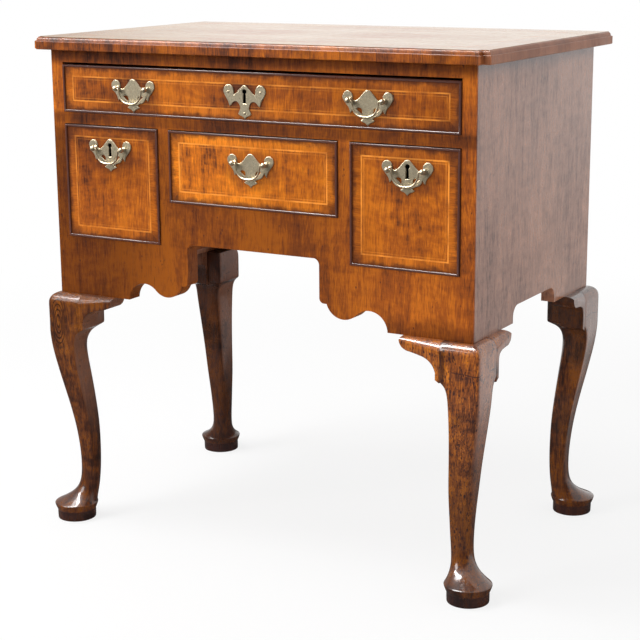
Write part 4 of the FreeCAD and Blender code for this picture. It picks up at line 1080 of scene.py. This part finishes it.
class LOWBOY_OT_cockbeads(bpy.types.Operator):
    """Fit a round-nosed bead round each drawer front"""

    bl_idname = "lowboy.cockbeads"
    bl_label = "Cockbeads"

    def execute(self, context):
        shape = context.scene.lowboy_shape
        for name in DRAWERS:
            low, high, centre = box_of(f"{name}_drawer_cockbeads")
            let_go()
            place, upright = (centre.x, low.y, centre.z), (math.pi / 2, 0, 0)
            bpy.ops.mesh.primitive_plane_add(size=1, location=place, rotation=upright)
            bead = context.object
            bead.name = f"{name}_drawer_cockbeads_shaped"
            bead.scale = (high.x - low.x, high.z - low.z, 1)
            apply_place(bead)
            edit()
            pick_all()
            bpy.ops.mesh.inset(thickness=shape.bead_width, depth=0)
            bpy.ops.mesh.delete(type="FACE")
            pick_all()
            grow((0, high.y - low.y, 0))
            tidy()
            edit()

            def on_nose(edge):
                return all(near(vertex.co.y, low.y) for vertex in edge.verts) and edge.calc_face_angle(0) > 1

            pick("EDGE", on_nose)
            bpy.ops.mesh.bevel(offset=shape.bead_width * 0.44, segments=5, affect="EDGES")
            tidy()
            body, node = f"{name}_drawer", f"{name}_drawer_cockbeads"
            finish(bead, finish_for("bead"), body, [node], 50)
        return {"FINISHED"}


# Half outlines of the brasses in millimetres, from the peak down to the tail.
PLATE = [
    (0.0, 0.0), (4.6, -2.0, -0.2), (9.0, -6.4), (16.6, -13.6, 0.1), (21.9, -12.4, 0.2), (28.6, -1.6, -0.5),
    (36.5, -11.0, -0.45), (29.8, -20.5, -0.1), (26.6, -25.4, 0.08), (25.4, -30.3), (21.6, -25.0, -0.18),
    (15.4, -33.0, -0.2), (6.8, -36.5, 0.15), (10.3, -38.9), (5.0, -41.6, -0.15), (0.0, -46.0, 0.15),
]
TEARDROP = [(16.2, -24.6), (9.6, -23.8, 0.4), (9.0, -30.6, 0.35)]
ESCUTCHEON = [
    (0.0, 0.0), (4.4, -2.4, -0.2), (8.6, -6.6), (16.3, -12.6, 0.08), (17.0, -7.4), (25.0, 0.4, -0.42),
    (33.2, -8.4, -0.4), (29.5, -16.8, -0.08), (25.6, -23.0, 0.08), (23.6, -28.6), (19.6, -25.0, -0.1),
    (8.6, -25.6, 0.6), (6.8, -31.0, 0.08), (10.3, -38.2), (5.0, -41.2, -0.15), (0.0, -45.2, 0.15),
]
KEYHOLE = [
    (-2.1, -15.4), (2.1, -15.4), (1.7, -2.6), (3.1, 0.0, 0.25), (0.0, 3.1, 0.414), (-3.1, 0.0, 0.414),
    (-1.7, -2.6, 0.25),
]
KEYHOLE_DROP = 0.0088  # from a plate's peak to the middle of the keyhole's round head
PLATE_TALL, ESCUTCHEON_TALL = 0.046, 0.0452
KEYED = {
    "top": ("escutcheon", ESCUTCHEON_TALL),
    "left": ("left_backplate", PLATE_TALL),
    "right": ("right_backplate", PLATE_TALL),
}
# The keyhole plate's pins: where they are below its peak, and the (distance, radius) shape of their heads.
PINS = [(-25.2, -9.3), (25.2, -9.3), (0.0, -37.4)]
PIN = ((0, 1.75), (0.5, 1.7), (0.95, 1.35), (1.3, 0.8), (1.45, 0.2))
PIN_PROUD = 0.0012


def hang_plate(name, loops, peak, depth):
    """Cut a brass plate to its outlines, file its edge and hang it on the drawer front by its peak."""
    shape = bpy.context.scene.lowboy_shape
    plate = to_mesh(outline_curve(name, loops, depth, shape.plate_bevel))
    plate.rotation_euler = (math.pi / 2, 0, 0)
    plate.location = (peak[0], CASE_FRONT - depth / 2, peak[1])
    apply_place(plate)
    return plate


def brass_edge(plate):
    """Give the filed bevels the brighter brass that hands have rubbed."""
    plate.data.materials.clear()
    plate.data.materials.append(finish_for("brass"))
    plate.data.materials.append(finish_for("rubbed_brass"))
    for face in plate.data.polygons:
        face.material_index = 1 if 0.2 < -face.normal.y < 0.97 else 0


class LOWBOY_OT_backplates(bpy.types.Operator):
    """Cut the batwing backplates, pierce them and hang them"""

    bl_idname = "lowboy.backplates"
    bl_label = "Backplates"

    def execute(self, context):
        whole = [scaled(mirror_half(PLATE)), scaled(TEARDROP), scaled(mirror_loop(TEARDROP))]
        for name, drawer in HANDLES.items():
            low, high, centre = box_of(f"{name}_backplate")
            peak = (centre.x, low.z + PLATE_TALL)
            loops = list(whole)
            if name in KEYED:
                loops.append(scaled(KEYHOLE, -KEYHOLE_DROP))
            plate = hang_plate(f"{name}_backplate_filed", loops, peak, high.y - low.y)
            finish(plate, None, f"{drawer}_drawer", [f"{name}_backplate"], 13)
            brass_edge(plate)
        return {"FINISHED"}


class LOWBOY_OT_escutcheon(bpy.types.Operator):
    """Cut the keyhole plate of the long drawer and drive in its three pins"""

    bl_idname = "lowboy.escutcheon"
    bl_label = "Escutcheon"

    def execute(self, context):
        low, _, centre = box_of("escutcheon")
        depth = CASE_FRONT - low.y - PIN_PROUD
        peak = (centre.x, low.z + ESCUTCHEON_TALL)
        loops = [scaled(mirror_half(ESCUTCHEON)), scaled(KEYHOLE, -KEYHOLE_DROP)]
        plate = hang_plate("escutcheon_filed", loops, peak, depth)
        seat = CASE_FRONT - depth + 0.0004
        pins = []
        for x, z in PINS:
            start = Vector((peak[0] + x * MM, seat, peak[1] + z * MM))
            pins.append(turn("pin", start, (0, -1, 0), PIN))
        plate = join([plate, *pins], plate.name)
        finish(plate, None, "top_drawer", ["escutcheon"], 13)
        brass_edge(plate)
        return {"FINISHED"}


def turn(name, start, way, stations, sides=20):
    """Turn a round piece: a disc drawn out along way through (distance, radius) stations in millimetres."""
    way = Vector(way)
    let_go()
    distance, radius = stations[0]
    bpy.ops.mesh.primitive_circle_add(
        vertices=sides,
        radius=radius * MM,
        fill_type="NGON",
        location=start + way * distance * MM,
        rotation=way.to_track_quat("Z", "Y").to_euler(),
    )
    piece = bpy.context.object
    piece.name = name
    apply_place(piece)
    edit()
    pick_all()
    for before, after in zip(stations, stations[1:]):
        share = after[1] / before[1]
        scale = [1 if abs(part) > 0.5 else share for part in way]
        grow(way * (after[0] - before[0]) * MM, scale, start + way * after[0] * MM)
    tidy()
    return piece


# A post from the front of its ball to its end inside the drawer, as (distance, radius) in millimetres.
POST = (
    (-3.7, 0.5), (-3.45, 1.55), (-2.9, 2.45), (-1.9, 3.3), (-0.7, 3.72), (0.5, 3.76), (1.7, 3.4), (2.7, 2.7),
    (3.3, 2.2), (4.2, 1.95), (5.2, 2.2), (5.7, 2.9), (6.3, 3.5), (7.0, 3.6), (7.4, 3.5), (7.4, 2.1),
    (33.0, 2.1), (33.0, 1.4),
)
POST_REACH = 0.0246  # from the middle of a handle to each of its posts
NUT_SIZE = (0.0096, 0.003, 0.0096)
NUT_DEPTH = 0.0215  # from the drawer's face to the nut's middle


class LOWBOY_OT_posts(bpy.types.Operator):
    """Turn the ball-headed posts and put a square nut on each inside the drawer"""

    bl_idname = "lowboy.posts"
    bl_label = "Posts and nuts"

    def execute(self, context):
        axis_y = bail_axis()
        pattern = turn("post", Vector((0, 0, 0)), (0, 1, 0), POST)
        nut_y = CASE_FRONT - axis_y + NUT_DEPTH
        let_go()
        bpy.ops.mesh.primitive_cube_add(size=1, location=(0, nut_y, 0))
        nut = context.object
        nut.scale = NUT_SIZE
        apply_place(nut)
        edit()
        pick("EDGE", lambda edge: all(vertex.co.y > nut_y for vertex in edge.verts))
        bpy.ops.mesh.bevel(offset=0.0006, segments=2, affect="EDGES")
        bpy.ops.object.mode_set(mode="OBJECT")
        join([pattern, nut], "post")
        for drawer in DRAWERS:
            posts = []
            for handle in [label for label, owner in HANDLES.items() if owner == drawer]:
                x, z = pivot(handle)
                posts += [again(pattern, "post", (x + side, axis_y, z)) for side in (-POST_REACH, POST_REACH)]
            node = f"{drawer}_drawer_posts"
            turned = join(posts, f"{node}_turned")
            finish(turned, finish_for("rubbed_brass"), f"{drawer}_drawer", [node], 40)
        discard(pattern)
        return {"FINISHED"}


BAIL_TOP = 0.0022  # from the axis of a bail up to the top of its box


def bail_axis():
    """How far back the bails' axis lies: the frame draws them hanging plumb from it."""
    return box_of("top_left_bail")[2].y


def pivot(handle):
    """The middle of a handle's two posts: its x and z."""
    _, high, centre = box_of(f"{handle}_bail")
    return centre.x, high.z - BAIL_TOP


# Half a bail from the ball of its post down to its middle: across, down, and how thick it is for its radius.
BAIL = (
    (22.6, 0.0, 0.75), (20.7, 0.2, 0.85), (19.3, -0.9, 0.97), (18.7, -4.4, 1.0), (17.4, -10.2, 1.03),
    (13.4, -16.0, 1.1), (7.2, -19.4, 1.25), (0, -20.2, 1.35),
)


class LOWBOY_OT_bails(bpy.types.Operator):
    """Bend the bails: thin where they enter the balls of the posts, thick at the belly"""

    bl_idname = "lowboy.bails"
    bl_label = "Bails"

    def execute(self, context):
        shape = context.scene.lowboy_shape
        let_go()
        bpy.ops.curve.primitive_bezier_curve_add(location=(0, 0, 0))
        pattern = context.object
        curve = pattern.data
        curve.splines.clear()
        curve.dimensions, curve.bevel_depth, curve.bevel_resolution = "3D", shape.bail_radius, 3
        curve.use_fill_caps, curve.resolution_u = True, 6
        line = BAIL + tuple((-x, z, thick) for x, z, thick in BAIL[-2::-1])
        spline = curve.splines.new("BEZIER")
        spline.bezier_points.add(len(line) - 1)
        for point, (x, z, thick) in zip(spline.bezier_points, line):
            point.co, point.radius = (x * MM, 0, z * MM), thick
            point.handle_left_type = point.handle_right_type = "AUTO"
        pattern = to_mesh(pattern)
        for handle in HANDLES:
            x, z = pivot(handle)
            bail = again(pattern, f"{handle}_bail_bent", (x, bail_axis(), z))
            finish(bail, finish_for("rubbed_brass"), f"{handle}_bail", [f"{handle}_bail"], 60)
        discard(pattern)
        return {"FINISHED"}


class LOWBOY_OT_boards(bpy.types.Operator):
    """Finish the boards, drawers and locks that keep the frame's own shape"""

    bl_idname = "lowboy.boards"
    bl_label = "Boards and drawers"

    def execute(self, context):
        FINISHES.clear()
        work = {
            "front": (
                "front_stiles", "front_apron", "left_divider", "right_divider", "top_rail", "middle_rail",
            ),
            "end": ("left_side", "right_side"),
            "top": ("top_board",),
            "lining": ("drawer_runners",),
            "wide_lining": ("back_panel",),
        }
        for name, nodes in work.items():
            for node in nodes:
                self.paint(node, finish_for(name))
        for drawer in DRAWERS:
            self.paint(f"{drawer}_drawer_front", finish_for("drawer", drawer, *DRAWER_TONES[drawer]))
            self.paint(f"{drawer}_drawer_sides", finish_for("lining"))
            for part in ("bottom", "back"):
                self.paint(f"{drawer}_drawer_{part}", finish_for("wide_lining"))
            if drawer != "centre":
                self.paint(f"{drawer}_lock_case", finish_for("iron"))
                self.paint(f"{drawer}_lock_bolt", finish_for("iron"))
        return {"FINISHED"}

    def paint(self, node, material):
        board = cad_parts[node]
        for slot in board.material_slots:
            slot.material = material


CAMERA_ANGLES = (30.12, 13.48, -0.44)  # turned to the left, tipped down and rolled, in degrees


class LOWBOY_OT_stage(bpy.types.Operator):
    """Lay the pale floor, hang the soft lamps and set up the camera"""

    bl_idname = "lowboy.stage"
    bl_label = "Stage"

    def execute(self, context):
        studio = context.scene.lowboy_studio
        self.lay_floor()
        self.light_world(studio)
        all_but_top = self.top_rule("All but the top", "EXCLUDE")
        top_only = self.top_rule("Top only", "INCLUDE")
        for name, place, target, size, watts in (
            ("Key lamp", (-1.9, -2.6, 1.9), (0, 0, 0.4), 1.5, studio.key),
            ("Overhead lamp", (-0.9, -0.5, 2.5), (0, 0, 0.3), 0.9, studio.overhead),
        ):
            lamp = self.hang_lamp(name, place, target, size, watts)
            lamp.light_linking.receiver_collection = all_but_top
            lamp = self.hang_lamp(f"{name} without glare on the top", place, target, size, watts)
            lamp.light_linking.receiver_collection, lamp.visible_glossy = top_only, False
        strip = self.hang_lamp("Strip lamp", (-0.89, -0.82, 2.15), (0.29, -0.2, 0.34), 0.45, studio.strip)
        strip.data.shape, strip.data.size_y, strip.visible_diffuse = "RECTANGLE", 1.8, False
        strip.light_linking.receiver_collection = all_but_top
        self.set_camera(studio)
        context.scene.view_settings.view_transform = "Standard"
        return {"FINISHED"}

    def top_rule(self, name, state):
        """A lamp's list of what it lights, with the top board as its only entry."""
        rule = bpy.data.collections.new(name)
        rule.objects.link(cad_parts["top_board"])
        rule.collection_objects[0].light_linking.link_state = state
        return rule

    def lay_floor(self):
        let_go()
        bpy.ops.mesh.primitive_grid_add(x_subdivisions=8, y_subdivisions=8, size=1, location=(0, 2.0, 0))
        floor = bpy.context.object
        floor.name = "studio_floor"
        floor.scale = (9, 6.4, 1)
        apply_place(floor)
        material = bpy.data.materials.new("Pale floor")
        mix = blank(material)
        seen = mix.add("LightPath").outputs
        pale = mix.blend(seen["Is Glossy Ray"], (0.9, 0.9, 0.9), (0.12, 0.12, 0.12))
        lit = mix.add("BsdfDiffuse", {"Color": pale})
        white = mix.add("Emission", {"Color": (1, 1, 1), "Strength": 1.0})
        place = mix.add("TexCoord").outputs["Object"]
        away = mix.add("VectorMath", {0: place}, operation="LENGTH").outputs["Value"]
        to_eye = mix.times(seen["Is Camera Ray"], mix.ease(away, 0.9, 2.0, 0.8, 1.0))
        x, y, _ = mix.split(place)
        behind = mix.times(mix.ease(y, -0.1, 0.4), mix.ease(mix.absolute(x), 0.34, 0.75, 0.0, 0.95))
        behind = mix.most(behind, mix.ease(y, 1.6, 2.2, 0.0, 0.95))
        share = mix.most(to_eye, mix.times(seen["Is Glossy Ray"], behind))
        both = mix.add("MixShader", {0: share, 1: lit.outputs[0], 2: white.outputs[0]})
        mix.add("OutputMaterial", {"Surface": both.outputs[0]})
        floor.data.materials.append(material)

    def light_world(self, studio):
        """White all round for the eye and for polish at the back, and a soft even light."""
        world = bpy.data.worlds.new("Studio")
        bpy.context.scene.world = world
        mix = blank(world)
        seen = mix.add("LightPath").outputs
        way = mix.add("TexCoord").outputs["Generated"]
        x, y, z = mix.split(way)
        behind = mix.ease(mix.plus(y, mix.times(z, 0.5)), -0.25, 0.35, 0.02, 1.0)
        behind = mix.times(behind, mix.ease(x, -0.68, -0.52, 0.4, 1.0))
        polish_light = mix.blend(behind, (0, 0, 0), (1, 1, 1))
        soft = (studio.fill,) * 3
        in_polish = mix.most(seen["Is Glossy Ray"], seen["Is Transmission Ray"])
        light = mix.blend(in_polish, soft, polish_light)
        light = mix.blend(seen["Is Camera Ray"], light, (1, 1, 1))
        shader = mix.add("Background", {"Color": light, "Strength": 1.0})
        mix.add("OutputWorld", {"Surface": shader.outputs[0]})

    def hang_lamp(self, name, place, target, size, watts):
        let_go()
        bpy.ops.object.light_add(type="AREA", location=place)
        lamp = bpy.context.object
        lamp.name = name
        lamp.data.shape, lamp.data.size, lamp.data.energy = "SQUARE", size, watts
        lamp.rotation_euler = (Vector(target) - Vector(place)).to_track_quat("-Z", "Y").to_euler()
        return lamp

    def set_camera(self, studio):
        let_go()
        bpy.ops.object.camera_add(location=studio.camera)
        camera = bpy.context.object
        camera.name = "Studio camera"
        camera.data.lens, camera.data.sensor_width = studio.focal, 36
        turned, tipped, rolled = (math.radians(angle) for angle in CAMERA_ANGLES)
        way = Matrix.Rotation(turned, 3, "Z") @ Matrix.Rotation(math.pi / 2 - tipped, 3, "X")
        camera.rotation_euler = (way @ Matrix.Rotation(rolled, 3, "Z")).to_euler()
        bpy.context.scene.camera = camera


class LOWBOY_PT_panel(bpy.types.Panel):
    """Lists the steps that make the lowboy"""

    bl_idname = "LOWBOY_PT_panel"
    bl_label = "Lowboy"
    bl_space_type = "VIEW_3D"
    bl_region_type = "UI"
    bl_category = "Lowboy"

    def draw(self, context):
        for group in (context.scene.lowboy_shape, context.scene.lowboy_colours, context.scene.lowboy_studio):
            box = self.layout.box()
            for name in group.__annotations__:
                box.prop(group, name)
        for step in STEPS:
            self.layout.operator(step.bl_idname)


STEPS = (
    LOWBOY_OT_boards,
    LOWBOY_OT_legs,
    LOWBOY_OT_ears,
    LOWBOY_OT_moulding,
    LOWBOY_OT_cockbeads,
    LOWBOY_OT_backplates,
    LOWBOY_OT_escutcheon,
    LOWBOY_OT_posts,
    LOWBOY_OT_bails,
    LOWBOY_OT_stage,
)
GROUPS = {"lowboy_shape": LowboyShape, "lowboy_colours": LowboyColours, "lowboy_studio": LowboyStudio}


def register():
    for part in (*GROUPS.values(), *STEPS, LOWBOY_PT_panel):
        bpy.utils.register_class(part)
    for name, group in GROUPS.items():
        setattr(bpy.types.Scene, name, PointerProperty(type=group))


def unregister():
    for name in GROUPS:
        delattr(bpy.types.Scene, name)
    for part in (LOWBOY_PT_panel, *reversed(STEPS), *reversed(GROUPS.values())):
        bpy.utils.unregister_class(part)


def main():
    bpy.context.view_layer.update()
    register()
    for step in STEPS:
        area, name = step.bl_idname.split(".")
        getattr(getattr(bpy.ops, area), name)()


if __name__ == "__main__":
    main()
